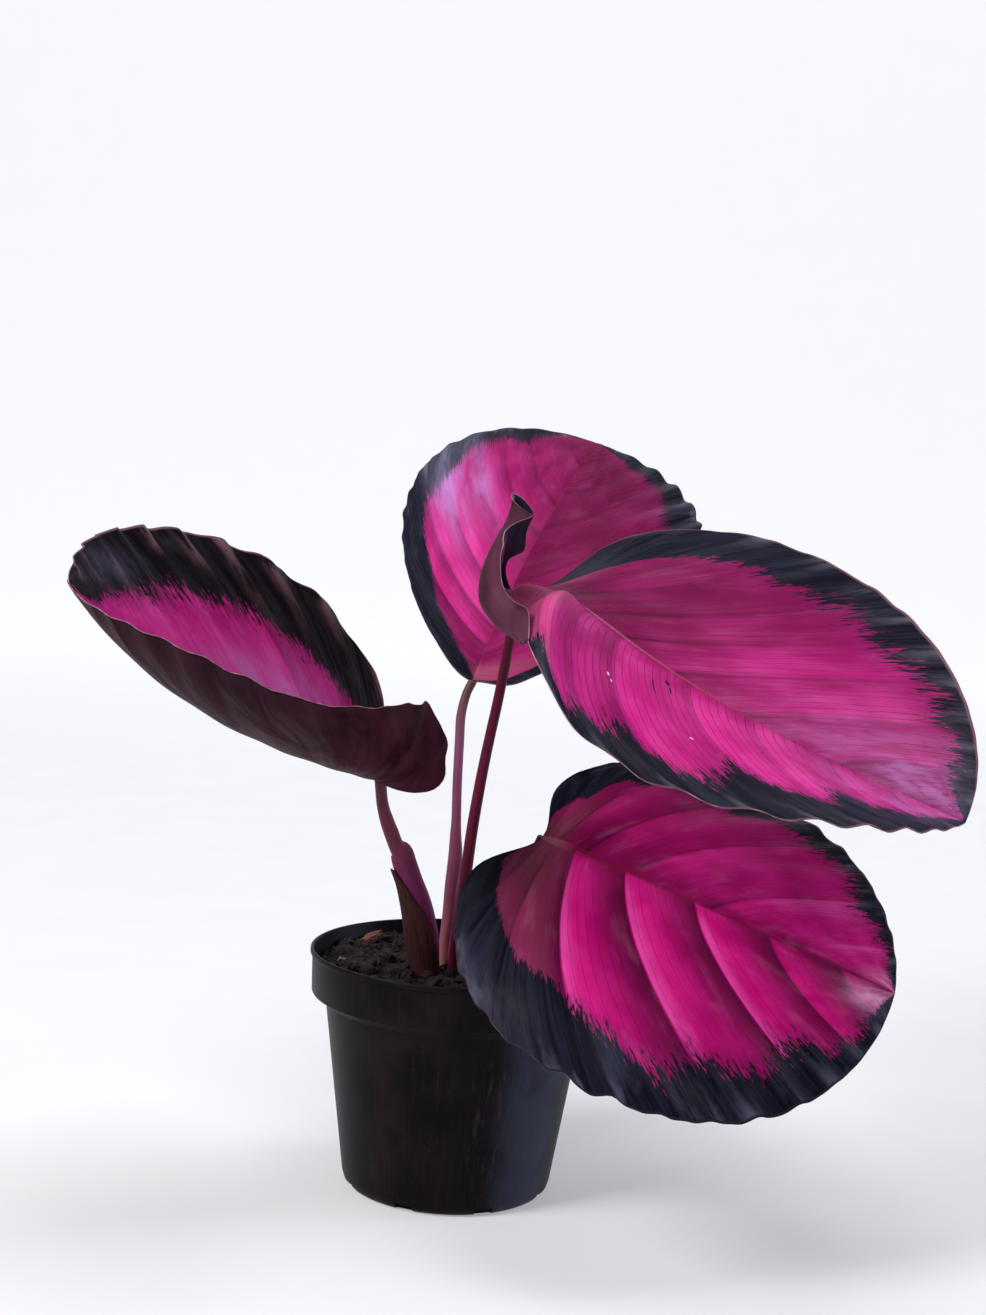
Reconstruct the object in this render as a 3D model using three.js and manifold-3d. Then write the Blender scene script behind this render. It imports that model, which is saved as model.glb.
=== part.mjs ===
// A potted crimson calathea: four broad blades on slim stalks, in a round nursery pot of crumbly soil.
// Millimetres and degrees, +Z up, +X to the right and +Y to the back. The origin is the middle of the
// pot's underside.
import * as THREE from "three";
import { mergeVertices } from "three/addons/utils/BufferGeometryUtils.js";
import Module from "manifold-3d";

const wasm = await Module();
wasm.setup();

// Driving dimensions of the pot and its soil
const gap = 0.3; // left between pieces that touch
const potHeight = 84;
const rimRadius = 52.5;
const lipStep = 0.7; // how far the lip stands out of the collar
const lipHeight = 2.2;
const collarFootRadius = 51.4;
const collarHeight = 15;
const shoulderHeight = 4;
const bodyTopRadius = 46.2;
const bodyFootRadius = 37.3;
const footRound = 4.2;
const potWall = 1.1;
const potFloor = 1.6;
const potSides = 48;
const drainHoles = { count: 8, ring: 23, radius: 3 };
const drainNotches = { count: 8, ring: 36.5, width: 6.5, depth: 7, height: 2.6 };
const soilLevel = 77.5;
const soilRings = 10;
const soilSpread = 1.3; // how far lumps rise and fall

// Driving dimensions of the leaves
const bladeThickness = 0.8;
const rowsAcross = [0, 0.2, 0.4, 0.6, 0.8, 0.93, 1]; // steps from the midrib to the margin
const stalkSides = 10;
const stalkRings = 18;
const bractThickness = 0.8;

// Each blade is laid flat as an outline with two basal lobes, then folded along its midrib, curled
// from midrib to margin, and carried along a midrib that bends, turns and twists. Left and right
// are as seen along the midrib from the stalk to the tip. Three values in a row hold at the
// attachment, halfway and at the tip. A pull moves a stretch of margin near one place u on it.
// Pleats swell between creases, whose places are shares of the length, and are as high as their
// rise says where they are a fifth of the length wide. Waves run along the margin.
const blades = {
  blade_left: {
    attachment: [-30, -25, 148],
    length: 142,
    halfWidth: { left: 61, right: 61 },
    fullness: 0.85,
    lobe: { left: 20, right: 2.5 },
    notch: { left: 0.1, right: 0.1 },
    skew: 0,
    heading: { start: 210.5, turn: 22 },
    rise: { start: 14, bend: 19, bow: 14.5, arch: 0 },
    roll: { start: -34.5, twist: -10 },
    fold: { left: [25.5, 21, 7], right: [36, 25.5, 10] },
    curl: { left: [123, 58, 93], right: [11, 11, 10] },
    pulls: [
      { side: "left", at: 0.285, width: 0.032, depth: 4, shift: [-1.5, 0, 4.5] },
      { side: "left", at: 0.345, width: 0.04, depth: 4, shift: [0, 0, 1.2] },
      { side: "left", at: 0.09, width: 0.055, depth: 1, shift: [0.5, 0, -3.4] },
      { side: "left", at: 0.16, width: 0.03, depth: 2, shift: [-2, 0, 0] },
    ],
    pleats: {
      left: { rise: 0.5, creases: [0.14, 0.3, 0.45, 0.6, 0.76, 0.9] },
      right: { rise: 0.7, creases: [0.2, 0.35, 0.5, 0.65, 0.78, 0.9] },
    },
    waves: { count: 10, phase: 0, left: 0.4, right: 1.9 },
    rows: 46,
    colour: 0x8c1f63,
  },
  blade_top: {
    attachment: [-0.5, 14.5, 179.5],
    length: 154,
    halfWidth: { left: 55, right: 55.5 },
    fullness: 0.85,
    lobe: { left: -7, right: 9.5 },
    notch: { left: 0.1, right: 0.1 },
    skew: -0.24,
    heading: { start: 65.5, turn: 4 },
    rise: { start: 52, bend: -37, bow: 7.5, arch: 0 },
    roll: { start: 12.5, twist: 2.5 },
    fold: { left: [21, 8.5, 3], right: [18.5, 7.5, -1] },
    curl: { left: [-7.5, -13.5, -10.5], right: [4, -7.5, -18.5] },
    pulls: [],
    pleats: {
      left: { rise: 1.7, creases: [0.13, 0.265, 0.345, 0.445, 0.575, 0.66, 0.76, 0.9] },
      right: { rise: 1.1, creases: [0.2, 0.35, 0.5, 0.68, 0.8, 0.92] },
    },
    waves: { count: 9, phase: 90, left: 0.3, right: 1.2 },
    rows: 46,
    colour: 0xa81a6b,
  },
  blade_right: {
    attachment: [16, -9.5, 214],
    length: 175.5,
    halfWidth: { left: 73.5, right: 68.5 },
    fullness: 0.85,
    lobe: { left: 4.5, right: 4 },
    notch: { left: 0.09, right: 0.1 },
    skew: 0.32,
    heading: { start: -35.5, turn: 1 },
    rise: { start: -24, bend: 10.5, bow: -1, arch: 44 },
    roll: { start: -2, twist: 28 },
    fold: { left: [4, 21.5, 53], right: [35, 14.5, 17] },
    curl: { left: [50, 11, -25], right: [12, -25.5, 9.5] },
    pulls: [],
    pleats: {
      left: { rise: 1.2, creases: [0.21, 0.33, 0.44, 0.56, 0.695, 0.835, 0.93] },
      right: { rise: 0.9, creases: [0.22, 0.36, 0.5, 0.66, 0.79, 0.88] },
    },
    waves: { count: 11, phase: 0, left: 0.5, right: 1 },
    rows: 40,
    colour: 0xb8206f,
    // The right lobe is rolled up over the stalk like an ear. Each of its veins runs from the
    // midrib through the lobe's narrow neck and over the crest of the roll to the margin. The
    // three curves run from the attachment, round the lobe's tip, to where the blade lies flat.
    rolledLobe: {
      until: 0.37,
      blend: 0.25,
      rows: 24,
      neck: [
        [16, -9.5, 214],
        [14.4, -10.2, 212.8],
        [12.7, -10.5, 211.7],
        [11, -11, 211.6],
        [9.9, -11.5, 212.6],
        [8.8, -12, 213.9],
        [8, -13, 215.3],
        [7.2, -14, 216.4],
        [6.9, -15, 216.7],
        [6.2, -16, 216.8],
        [5.8, -17, 216.4],
        [5.2, -18, 215.8],
        [4.9, -20, 214.5],
        [5.4, -23, 212.3],
        [6.9, -27, 209.6],
        [10, -34, 206.8],
        [13.6, -45, 205.1],
      ],
      crest: [
        [16, -9.5, 214],
        [12.7, -10.5, 212.4],
        [10.2, -11, 214.3],
        [7.9, -12, 217.7],
        [6.9, -13, 221.8],
        [6.3, -15, 226.3],
        [7.3, -18, 231.6],
        [8.6, -22, 238.6],
        [9.6, -26, 243.4],
        [8.7, -28, 241.1],
        [7.2, -31, 237.3],
        [4.7, -34, 231.6],
        [1.7, -38, 225.2],
        [0, -44, 217.8],
        [1.1, -52, 211.1],
        [7.3, -62, 204.7],
        [13.9, -76, 201.4],
      ],
      margin: [
        [16, -9.5, 214],
        [11.9, -11.5, 213.8],
        [8.8, -13, 218.8],
        [8.5, -15, 224.1],
        [11.7, -17, 227.7],
        [14.5, -19, 231.1],
        [15.8, -22, 237],
        [14.6, -26, 243.7],
        [9.6, -29, 247.5],
        [11.9, -31, 243],
        [16.6, -34, 240.6],
        [8.2, -39, 235.9],
        [7.1, -46, 230.8],
        [6.9, -54, 222.9],
        [9.2, -62, 215.7],
        [15.3, -72, 211.9],
        [15.9, -88, 203.1],
      ],
    },
  },
  blade_front: {
    attachment: [26, -33, 132.5],
    length: 127.5,
    halfWidth: { left: 74, right: 82.5 },
    fullness: 0.95,
    lobe: { left: 10.5, right: 15 },
    notch: { left: 0.056, right: 0.057 },
    skew: 0.14,
    heading: { start: -26.5, turn: 24 },
    rise: { start: -12, bend: -19.5, bow: 11.5, arch: 0 },
    roll: { start: 30, twist: 7.5 },
    fold: { left: [6.5, -0.5, -2], right: [9.5, 2.5, -13.5] },
    curl: { left: [-22.5, -19.5, 9.5], right: [-30, -17.5, -39] },
    pulls: [],
    pleats: {
      left: { rise: 1.1, creases: [0.12, 0.28, 0.45, 0.65, 0.82, 0.93] },
      right: { rise: 2.2, creases: [0.1, 0.235, 0.43, 0.615, 0.775, 0.905] },
    },
    waves: { count: 9, phase: 200, left: 0.4, right: 0.4 },
    rows: 46,
    colour: 0xb01d68,
  },
};

// Stalks as sections from the foot in the soil up to the blade: a centre, half the width across
// the front view, and half the depth. The left one widens into a winged sheath at its foot.
const stalks = {
  stalk_left: {
    blade: "blade_left",
    colour: 0x6b2450,
    sections: [
      [-9, -9, 54, 3, 2.8],
      [-10.2, -12.4, 74.5, 3.8, 3.2],
      [-10.9, -13.4, 81, 4.5, 3.4],
      [-12.3, -15, 90.5, 5.4, 3.5],
      [-13.9, -16.5, 99, 5.2, 3.4],
      [-15.6, -17.6, 105.5, 4.8, 3.2],
      [-18, -18.7, 112.5, 4.2, 3],
      [-20.3, -19.8, 118.5, 4.2, 2.8],
      [-21.6, -20.5, 122.5, 3.9, 2.6],
      [-23.6, -20.9, 125, 2.7, 2.4],
      [-25.5, -21.7, 129.5, 2.6, 2.2],
      [-27.1, -22.4, 133.5, 2.4, 2],
      [-28.9, -23.4, 139.5, 2.05, 1.9],
      [-30, -25, 148, 2, 1.9],
    ],
  },
  stalk_top: {
    blade: "blade_top",
    colour: 0xa04a6c,
    sections: [
      [-5, 3, 50, 1.8, 1.7],
      [-5.5, 2, 70, 2, 1.8],
      [-5, 1.2, 86, 2.1, 1.8],
      [-4.2, 0.8, 97, 2.3, 1.8],
      [-3.8, 0.8, 107.5, 2.4, 1.8],
      [-3.1, 1.5, 117.5, 2.5, 1.8],
      [-3.4, 2.8, 126, 2, 1.8],
      [-3.5, 3.8, 131, 1.75, 1.7],
      [-3.9, 6.6, 143.5, 1.7, 1.7],
      [-4, 9.8, 158, 1.7, 1.7],
      [-4, 11.8, 167, 1.7, 1.7],
      [-2.6, 13.4, 174.5, 1.6, 1.6],
      [-0.5, 14.5, 179.5, 1.6, 1.6],
    ],
  },
  stalk_right: {
    blade: "blade_right",
    colour: 0x5a1226,
    sections: [
      [-2.2, 0, 51.5, 2, 2],
      [-1.6, -1.2, 72, 2.15, 2.1],
      [-0.6, -2.4, 92, 2.15, 2.1],
      [0.9, -3.5, 110.5, 2.1, 2.1],
      [2.3, -4.5, 128.5, 2.05, 2],
      [4.4, -5.6, 147, 1.95, 1.9],
      [6.4, -6.5, 161, 1.85, 1.85],
      [8.7, -7.4, 175.5, 1.8, 1.8],
      [10.4, -8.1, 188, 1.75, 1.75],
      [11.8, -8.8, 199.5, 1.65, 1.65],
      [13.8, -9.3, 209, 1.6, 1.6],
      [16, -9.5, 214, 1.6, 1.6],
    ],
  },
  stalk_front: {
    blade: "blade_front",
    colour: 0x5a1226,
    sections: [
      [2.4, -5, 53, 2, 2],
      [4.1, -12, 75, 2.05, 2],
      [7.5, -17.5, 89, 2.05, 2],
      [12, -21.9, 101, 1.9, 1.9],
      [17.1, -26.1, 112.5, 1.8, 1.8],
      [22.5, -30, 123.5, 1.7, 1.7],
      [26, -33, 132.5, 1.7, 1.7],
    ],
  },
};

// The brown bract clasps the foot of the left stalk. Its top runs down from a point on the left.
const bract = {
  around: "stalk_left",
  from: 0.1, // share of the stalk's sections, from the foot
  to: 0.53,
  middle: 195, // direction that its middle faces: 180 is left, 270 is front
  spanAtFoot: 280,
  spanAtTop: 40,
  rows: 12,
  columns: 14,
};

// Bark chips that lie on the soil
const barkChips = {
  bark_chip_large: {
    centre: [-33, 29, 80],
    size: [11, 5, 3.4],
    turn: [18, -22, 24],
    colour: 0xa8603c,
  },
  bark_chip_small: {
    centre: [-41, -3, 79],
    size: [6, 3.5, 2.4],
    turn: [-8, 12, 70],
    colour: 0x8d7a66,
  },
};

// Booleans on closed geometries

function toSolid(geometry) {
  const bare = geometry.clone();
  bare.deleteAttribute("normal");
  bare.deleteAttribute("uv");
  const merged = mergeVertices(bare, 1e-4);
  const corners = merged.index.array;
  const kept = [];
  for (let i = 0; i < corners.length; i += 3) {
    const [a, b, c] = corners.slice(i, i + 3);
    if (a !== b && b !== c && c !== a) kept.push(a, b, c);
  }
  const vertProperties = new Float32Array(merged.attributes.position.array);
  const triVerts = new Uint32Array(kept);
  return new wasm.Manifold(new wasm.Mesh({ numProp: 3, vertProperties, triVerts }));
}

function largestBody(solid) {
  return solid.decompose().reduce((a, b) => (a.volume() > b.volume() ? a : b));
}

function toGeometry(solid) {
  const { vertProperties, triVerts } = solid.getMesh();
  return new THREE.BufferGeometry()
    .setAttribute("position", new THREE.BufferAttribute(new Float32Array(vertProperties), 3))
    .setIndex(new THREE.BufferAttribute(new Uint32Array(triVerts), 1));
}

// Small mathematics shared by the blades and stalks

const radians = THREE.MathUtils.degToRad;
const clamp = THREE.MathUtils.clamp;

function through([base, middle, tip], s) {
  return base * (1 - s) * (1 - 2 * s) + middle * 4 * s * (1 - s) + tip * s * (2 * s - 1);
}

function easeDown(t) {
  const c = clamp(t, 0, 1);
  return 1 - c * c * (3 - 2 * c);
}

function smoothCurve(points) {
  const vectors = points.map((p) => new THREE.Vector3(...p));
  return new THREE.CatmullRomCurve3(vectors, false, "catmullrom", 0.5);
}

// A sheet of even thickness from a grid of points on its middle surface. Both faces share one
// pattern of triangles, and a row whose points coincide becomes a point of the outline.
function closedSheet(grid, thickness) {
  const rows = grid.length - 1;
  const columns = grid[0].length - 1;
  const normals = grid.map((row) => row.map(() => new THREE.Vector3()));
  const quads = [];
  for (let i = 0; i < rows; i++) {
    for (let j = 0; j < columns; j++) {
      quads.push([[i, j], [i + 1, j], [i + 1, j + 1], [i, j + 1]]);
    }
  }
  const at = ([i, j]) => grid[i][j];
  for (const [a, b, c, d] of quads) {
    for (const [p, q, r] of [[a, b, c], [a, c, d]]) {
      const one = at(q).clone().sub(at(p));
      const two = at(r).clone().sub(at(p));
      const face = one.cross(two);
      for (const [i, j] of [p, q, r]) normals[i][j].add(face);
    }
  }
  for (const i of [0, rows]) {
    if (grid[i][0].distanceTo(grid[i][columns]) > 1e-6) continue;
    const mean = new THREE.Vector3();
    for (const normal of normals[i]) mean.add(normal);
    for (const normal of normals[i]) normal.copy(mean);
  }
  const positions = [];
  for (const side of [1, -1]) {
    grid.forEach((row, i) =>
      row.forEach((point, j) => {
        const offset = normals[i][j].clone().setLength((side * thickness) / 2);
        positions.push(...point.clone().add(offset).toArray());
      }),
    );
  }
  const upper = ([i, j]) => i * (columns + 1) + j;
  const lower = (corner) => upper(corner) + (rows + 1) * (columns + 1);
  const index = [];
  for (const [a, b, c, d] of quads) {
    index.push(upper(a), upper(b), upper(c), upper(a), upper(c), upper(d));
    index.push(lower(a), lower(c), lower(b), lower(a), lower(d), lower(c));
  }
  const wall = (from, to) => {
    index.push(upper(to), upper(from), lower(from), upper(to), lower(from), lower(to));
  };
  for (let j = 0; j < columns; j++) {
    wall([0, j + 1], [0, j]);
    wall([rows, j], [rows, j + 1]);
  }
  for (let i = 0; i < rows; i++) {
    wall([i, 0], [i + 1, 0]);
    wall([i + 1, columns], [i, columns]);
  }
  return new THREE.BufferGeometry()
    .setAttribute("position", new THREE.Float32BufferAttribute(positions, 3))
    .setIndex(index);
}

// Blades

const archReach = 0.12; // share of the length over which an arch lifts the midrib
const spineSteps = 42;
const spineReach = 1.05;

// Where a vein leaves the midrib, as a share of the length: close together near the stalk
const veinStart = (u) => 0.08 * u + 0.92 * u ** 4;

// The blade's own directions at a share s of its length: along, to the left, and up from its face
function bladeFrame(leaf, s) {
  const heading = radians(leaf.heading.start + leaf.heading.turn * s);
  const { start, bend, bow, arch } = leaf.rise;
  const arching = arch * (1 - s / archReach) * Math.exp(-s / archReach);
  const rise = radians(start + bend * s + bow * s * s + arching);
  const roll = radians(leaf.roll.start + leaf.roll.twist * s);
  const along = new THREE.Vector3(
    Math.cos(rise) * Math.cos(heading),
    Math.cos(rise) * Math.sin(heading),
    Math.sin(rise),
  );
  const level = new THREE.Vector3(-Math.sin(heading), Math.cos(heading), 0);
  const upright = along.clone().cross(level);
  const left = level.clone().multiplyScalar(Math.cos(roll)).addScaledVector(upright, Math.sin(roll));
  const up = upright.clone().multiplyScalar(Math.cos(roll)).addScaledVector(level, -Math.sin(roll));
  return { along, left, up };
}

// The midrib from the attachment to a little past the tip
function midribOf(leaf) {
  const step = (spineReach / spineSteps) * leaf.length;
  const points = [new THREE.Vector3(...leaf.attachment)];
  for (let i = 1; i <= spineSteps; i++) {
    const before = bladeFrame(leaf, ((i - 1) / spineSteps) * spineReach).along;
    const after = bladeFrame(leaf, (i / spineSteps) * spineReach).along;
    points.push(points[i - 1].clone().addScaledVector(before.add(after), step / 2));
  }
  return (s) => {
    const place = (clamp(s, 0, spineReach) / spineReach) * spineSteps;
    const i = Math.min(Math.floor(place), spineSteps - 1);
    const point = points[i].clone().lerp(points[i + 1], place - i);
    const overhang = Math.min(s, 0) * leaf.length;
    return point.addScaledVector(bladeFrame(leaf, 0).along, overhang);
  };
}

// A point of the flat blade: u runs along the margin from the attachment to the tip, and v runs
// along a vein from the midrib to the margin.
function flatPoint(leaf, side, u, v) {
  const lobe = leaf.lobe[side];
  const turn = Math.PI * u;
  const reach = (leaf.length + lobe) / 2;
  const width = leaf.halfWidth[side] * Math.abs(Math.sin(turn)) ** leaf.fullness;
  const beyondNotch = 1 - Math.exp(-((u / leaf.notch[side]) ** 2));
  const edgeX = reach * (1 - Math.cos(turn)) - lobe * beyondNotch;
  const edgeY = width * (1 + leaf.skew * Math.cos(turn));
  const startX = leaf.length * veinStart(u);
  const bend = 2 * v * (1 - v);
  const middleX = startX + 0.25 * (edgeX - startX);
  const x = (1 - v) ** 2 * startX + bend * middleX + v * v * edgeX;
  const y = bend * 0.62 * edgeY + v * v * edgeY;
  return { x, y, vein: (0.62 * startX + 0.38 * edgeX) / leaf.length };
}

// Height above the flat blade: round pleats between their creases, and waves towards the margin
function swelling(leaf, side, vein, v) {
  const { rise, creases } = leaf.pleats[side];
  const ends = [0, ...creases, 1];
  let k = 0;
  while (k < creases.length && vein > ends[k + 1]) k++;
  const width = ends[k + 1] - ends[k];
  const across = clamp((vein - ends[k]) / width, 0, 1);
  const pleat = rise * (width / 0.2) * (4 * across * (1 - across) - 0.6);
  const { count, phase } = leaf.waves;
  const wave = leaf.waves[side] * v ** 3 * Math.sin(2 * Math.PI * count * vein + radians(phase));
  return pleat * Math.min(1, 6 * v) * (1 - v ** 4) + wave;
}

function bladePoint(leaf, midrib, side, u, v) {
  const { x, y, vein } = flatPoint(leaf, side, u, v);
  const s = x / leaf.length;
  const held = clamp(s, -0.25, spineReach);
  const sign = side === "left" ? 1 : -1;
  const { left, up } = bladeFrame(leaf, clamp(s, 0, spineReach));
  const fold = radians(through(leaf.fold[side], held));
  const curl = radians(through(leaf.curl[side], held));
  const radius = leaf.halfWidth[side] / (Math.abs(curl) < 1e-3 ? 1e-3 : curl);
  const angle = fold + y / radius;
  const lift = swelling(leaf, side, vein, v) * Math.min(1, 8 * u, 7 * (1 - u));
  const outward = radius * (Math.sin(angle) - Math.sin(fold)) - lift * Math.sin(angle);
  const upward = radius * (Math.cos(fold) - Math.cos(angle)) + lift * Math.cos(angle);
  const point = midrib(s).addScaledVector(left, sign * outward).addScaledVector(up, upward);
  for (const pull of leaf.pulls) {
    if (pull.side !== side) continue;
    const near = Math.exp(-(((u - pull.at) / pull.width) ** 2)) * Math.min(1, 20 * u);
    point.addScaledVector(new THREE.Vector3(...pull.shift), near * v ** pull.depth);
  }
  if (!leaf.rolledLobe || side === "left") return point;
  return rollLobe(leaf.rolledLobe, midrib(veinStart(u)), point, u, v);
}

// The rolled lobe runs from the midrib over neck and crest to the margin, and fades into the blade
function rollLobe(lobe, root, point, u, v) {
  const t = u / lobe.until;
  const weight = easeDown((t - 1) / lobe.blend) * Math.min(6 * v, 1);
  if (weight === 0) return point;
  const rails = lobe.curves.map((curve) => curve.getPoint(Math.min(t, 1)));
  const vein = new THREE.CatmullRomCurve3([root, ...rails], false, "catmullrom", 0.5);
  return point.lerp(vein.getPoint(v), weight);
}

// Rows of veins, spaced evenly between even steps along the margin and along the midrib. A rolled
// lobe has rows of its own, even along its margin.
function veinRows(leaf) {
  const pace = (u) => (u + Math.max(0, flatPoint(leaf, "left", u, 1).vein)) / 2;
  const lobe = leaf.rolledLobe;
  const rows = [0];
  for (let i = 1; lobe && i <= lobe.rows; i++) rows.push((lobe.until * i) / lobe.rows);
  const begun = pace(rows.at(-1));
  for (let i = 1; i < leaf.rows; i++) {
    const wanted = begun + ((1 - begun) * i) / leaf.rows;
    let low = 0;
    let high = 1;
    for (let halving = 0; halving < 40; halving++) {
      const middle = (low + high) / 2;
      if (pace(middle) < wanted) low = middle;
      else high = middle;
    }
    rows.push(high);
  }
  return [...rows, 1];
}

function bladeGrid(leaf) {
  if (leaf.rolledLobe) {
    const { neck, crest, margin } = leaf.rolledLobe;
    leaf.rolledLobe.curves = [neck, crest, margin].map(smoothCurve);
  }
  const midrib = midribOf(leaf);
  const leftSteps = rowsAcross.slice(1).reverse();
  return veinRows(leaf).map((u) => [
    ...leftSteps.map((v) => bladePoint(leaf, midrib, "left", u, v)),
    ...rowsAcross.map((v) => bladePoint(leaf, midrib, "right", u, v)),
  ]);
}

// Stalks

// The centre, the two half widths and the two section directions at a share t of the stalk
function stalkSection(sections, t) {
  const centres = smoothCurve(sections.map((section) => section.slice(0, 3)));
  const widths = smoothCurve(sections.map((section) => [section[3], section[4], 0]));
  const along = centres.getTangent(t);
  const across = new THREE.Vector3(0, 1, 0).cross(along).normalize();
  const deep = along.clone().cross(across);
  const { x: halfWidth, y: halfDepth } = widths.getPoint(t);
  return { centre: centres.getPoint(t), along, across, deep, halfWidth, halfDepth };
}

// A point of the stalk's skin, or of one a clearance outside it; angle 0 is right and 90 is back
function stalkSkin(section, angle, clearance) {
  const { centre, across, deep, halfWidth, halfDepth } = section;
  return centre
    .clone()
    .addScaledVector(across, (halfWidth + clearance) * Math.cos(radians(angle)))
    .addScaledVector(deep, (halfDepth + clearance) * Math.sin(radians(angle)));
}

function stalkGeometry(sections, clearance = 0) {
  const positions = [];
  const index = [];
  for (let k = 0; k <= stalkRings; k++) {
    const section = stalkSection(sections, k / stalkRings);
    if (k === 0) section.centre.addScaledVector(section.along, -clearance);
    for (let j = 0; j < stalkSides; j++) {
      positions.push(...stalkSkin(section, (360 * j) / stalkSides, clearance).toArray());
      if (k === stalkRings) continue;
      const here = k * stalkSides + j;
      const next = k * stalkSides + ((j + 1) % stalkSides);
      index.push(here, next, next + stalkSides, here, next + stalkSides, here + stalkSides);
    }
    if (k === 0 || k === stalkRings) {
      const rim = k * stalkSides;
      for (let j = 1; j < stalkSides - 1; j++) {
        if (k === 0) index.push(rim, rim + j + 1, rim + j);
        else index.push(rim, rim + j, rim + j + 1);
      }
    }
  }
  return new THREE.BufferGeometry()
    .setAttribute("position", new THREE.Float32BufferAttribute(positions, 3))
    .setIndex(index);
}

// The bract

function bractGrid() {
  const { sections } = stalks[bract.around];
  const grid = [];
  for (let i = 0; i <= bract.rows; i++) {
    const height = i / bract.rows;
    const section = stalkSection(sections, bract.from + (bract.to - bract.from) * height);
    const span = THREE.MathUtils.lerp(bract.spanAtFoot, bract.spanAtTop, height ** 1.5);
    const row = [];
    for (let j = 0; j <= bract.columns; j++) {
      const angle = bract.middle + span * (j / bract.columns - 0.5);
      row.push(stalkSkin(section, angle, gap + bractThickness / 2 + 0.1));
    }
    grid.push(row);
  }
  return grid;
}

// The pot

// Half of the pot's section, from the middle of its underside out, up, and back down inside
function potProfile() {
  const collarFoot = potHeight - collarHeight;
  const bodyTop = collarFoot - shoulderHeight;
  const points = [[0, 0]];
  for (let i = 0; i <= 3; i++) {
    const a = (Math.PI / 2) * (i / 3);
    const inset = footRound * (1 - Math.sin(a));
    points.push([bodyFootRadius - inset, footRound * (1 - Math.cos(a))]);
  }
  points.push([bodyTopRadius, bodyTop], [collarFootRadius, collarFoot]);
  points.push([rimRadius - lipStep, potHeight - lipHeight]);
  points.push([rimRadius, potHeight - lipHeight + 0.6], [rimRadius, potHeight - 0.5]);
  points.push([rimRadius - 0.5, potHeight], [rimRadius - potWall, potHeight]);
  points.push([collarFootRadius - potWall, collarFoot + 0.6]);
  points.push([bodyTopRadius - potWall, bodyTop + 0.6]);
  points.push([bodyFootRadius - potWall, footRound + 0.6]);
  points.push([bodyFootRadius - potWall - 2.6, potFloor], [0, potFloor]);
  return points.map(([x, y]) => new THREE.Vector2(x, y));
}

function turned(profile, sides) {
  return new THREE.LatheGeometry(profile, sides).rotateX(Math.PI / 2);
}

function potSolid() {
  let pot = toSolid(turned(potProfile(), potSides));
  for (let i = 0; i < drainHoles.count; i++) {
    const around = (2 * Math.PI * i) / drainHoles.count;
    const hole = new THREE.CylinderGeometry(drainHoles.radius, drainHoles.radius, 8, 10);
    hole.rotateX(Math.PI / 2).translate(drainHoles.ring, 0, 0).rotateZ(around);
    pot = pot.subtract(toSolid(hole));
  }
  for (let i = 0; i < drainNotches.count; i++) {
    const around = (2 * Math.PI * (i + 0.5)) / drainNotches.count;
    const { depth, width, height, ring } = drainNotches;
    const notch = new THREE.BoxGeometry(depth, width, 2 * height);
    notch.translate(ring, 0, 0).rotateZ(around);
    pot = pot.subtract(toSolid(notch));
  }
  return pot;
}

// The soil

// Height of the soil's lumpy top above its level, from a few crossing waves
function lumps(x, y) {
  const coarse = Math.sin(0.21 * x + 1.3) * Math.cos(0.17 * y - 0.6);
  const middling = 0.6 * Math.sin(0.43 * x - 0.31 * y + 2.1) * Math.cos(0.37 * y + 0.23 * x);
  const fine = 0.4 * Math.sin(0.83 * x + 0.4) * Math.sin(0.77 * y + 1.7);
  return soilSpread * (coarse + middling + fine) + 0.02 * y;
}

function soilSolid() {
  const inside = potProfile().slice(-5).map((p) => new THREE.Vector2(p.x - gap, p.y));
  const [collarFoot, bodyTop, bodyFoot, floorEdge] = inside;
  const edge = collarFoot.x;
  const profile = [
    new THREE.Vector2(0, potFloor + gap),
    new THREE.Vector2(floorEdge.x, potFloor + gap),
    bodyFoot,
    bodyTop,
    collarFoot,
  ];
  for (let i = 0; i <= soilRings; i++) {
    profile.push(new THREE.Vector2(edge * (1 - i / soilRings), soilLevel));
  }
  const geometry = turned(profile, potSides);
  const position = geometry.attributes.position;
  for (let i = 0; i < position.count; i++) {
    if (position.getZ(i) < soilLevel - 1) continue;
    const [x, y] = [position.getX(i), position.getY(i)];
    const rounded = Math.hypot(x, y) > edge - 0.5 ? -1 : 0;
    position.setZ(i, soilLevel + lumps(x, y) + rounded);
  }
  return toSolid(geometry);
}

// Bark chips: short boards with broken ends

function chipGeometry(chip, clearance = 0) {
  const [length, width, height] = chip.size.map((side) => side + 2 * clearance);
  const geometry = new THREE.BoxGeometry(length, width, height, 4, 2, 1);
  const position = geometry.attributes.position;
  for (let i = 0; i < position.count; i++) {
    const [x, y, z] = [position.getX(i), position.getY(i), position.getZ(i)];
    const ragged = 0.12 * length * Math.sin(2.3 * y + 1.1 * z);
    const bowed = 0.1 * width * Math.sin((3 * x) / length);
    const thinned = 1 - 0.35 * Math.abs(x / length) * 2;
    position.setXYZ(i, x + ragged * Math.sign(x), (y + bowed) * thinned, z * thinned);
  }
  const turn = new THREE.Euler(...chip.turn.map(radians));
  const matrix = new THREE.Matrix4().makeRotationFromEuler(turn).setPosition(...chip.centre);
  return geometry.applyMatrix4(matrix);
}

// The assembly

const plant = new THREE.Group();

function addPiece(name, solid, colour, roughness) {
  const material = new THREE.MeshStandardMaterial({ color: colour, roughness, metalness: 0 });
  const mesh = new THREE.Mesh(toGeometry(solid), material);
  mesh.name = name;
  plant.add(mesh);
}

addPiece("pot", potSolid(), 0x1e1c20, 0.45);

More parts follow.
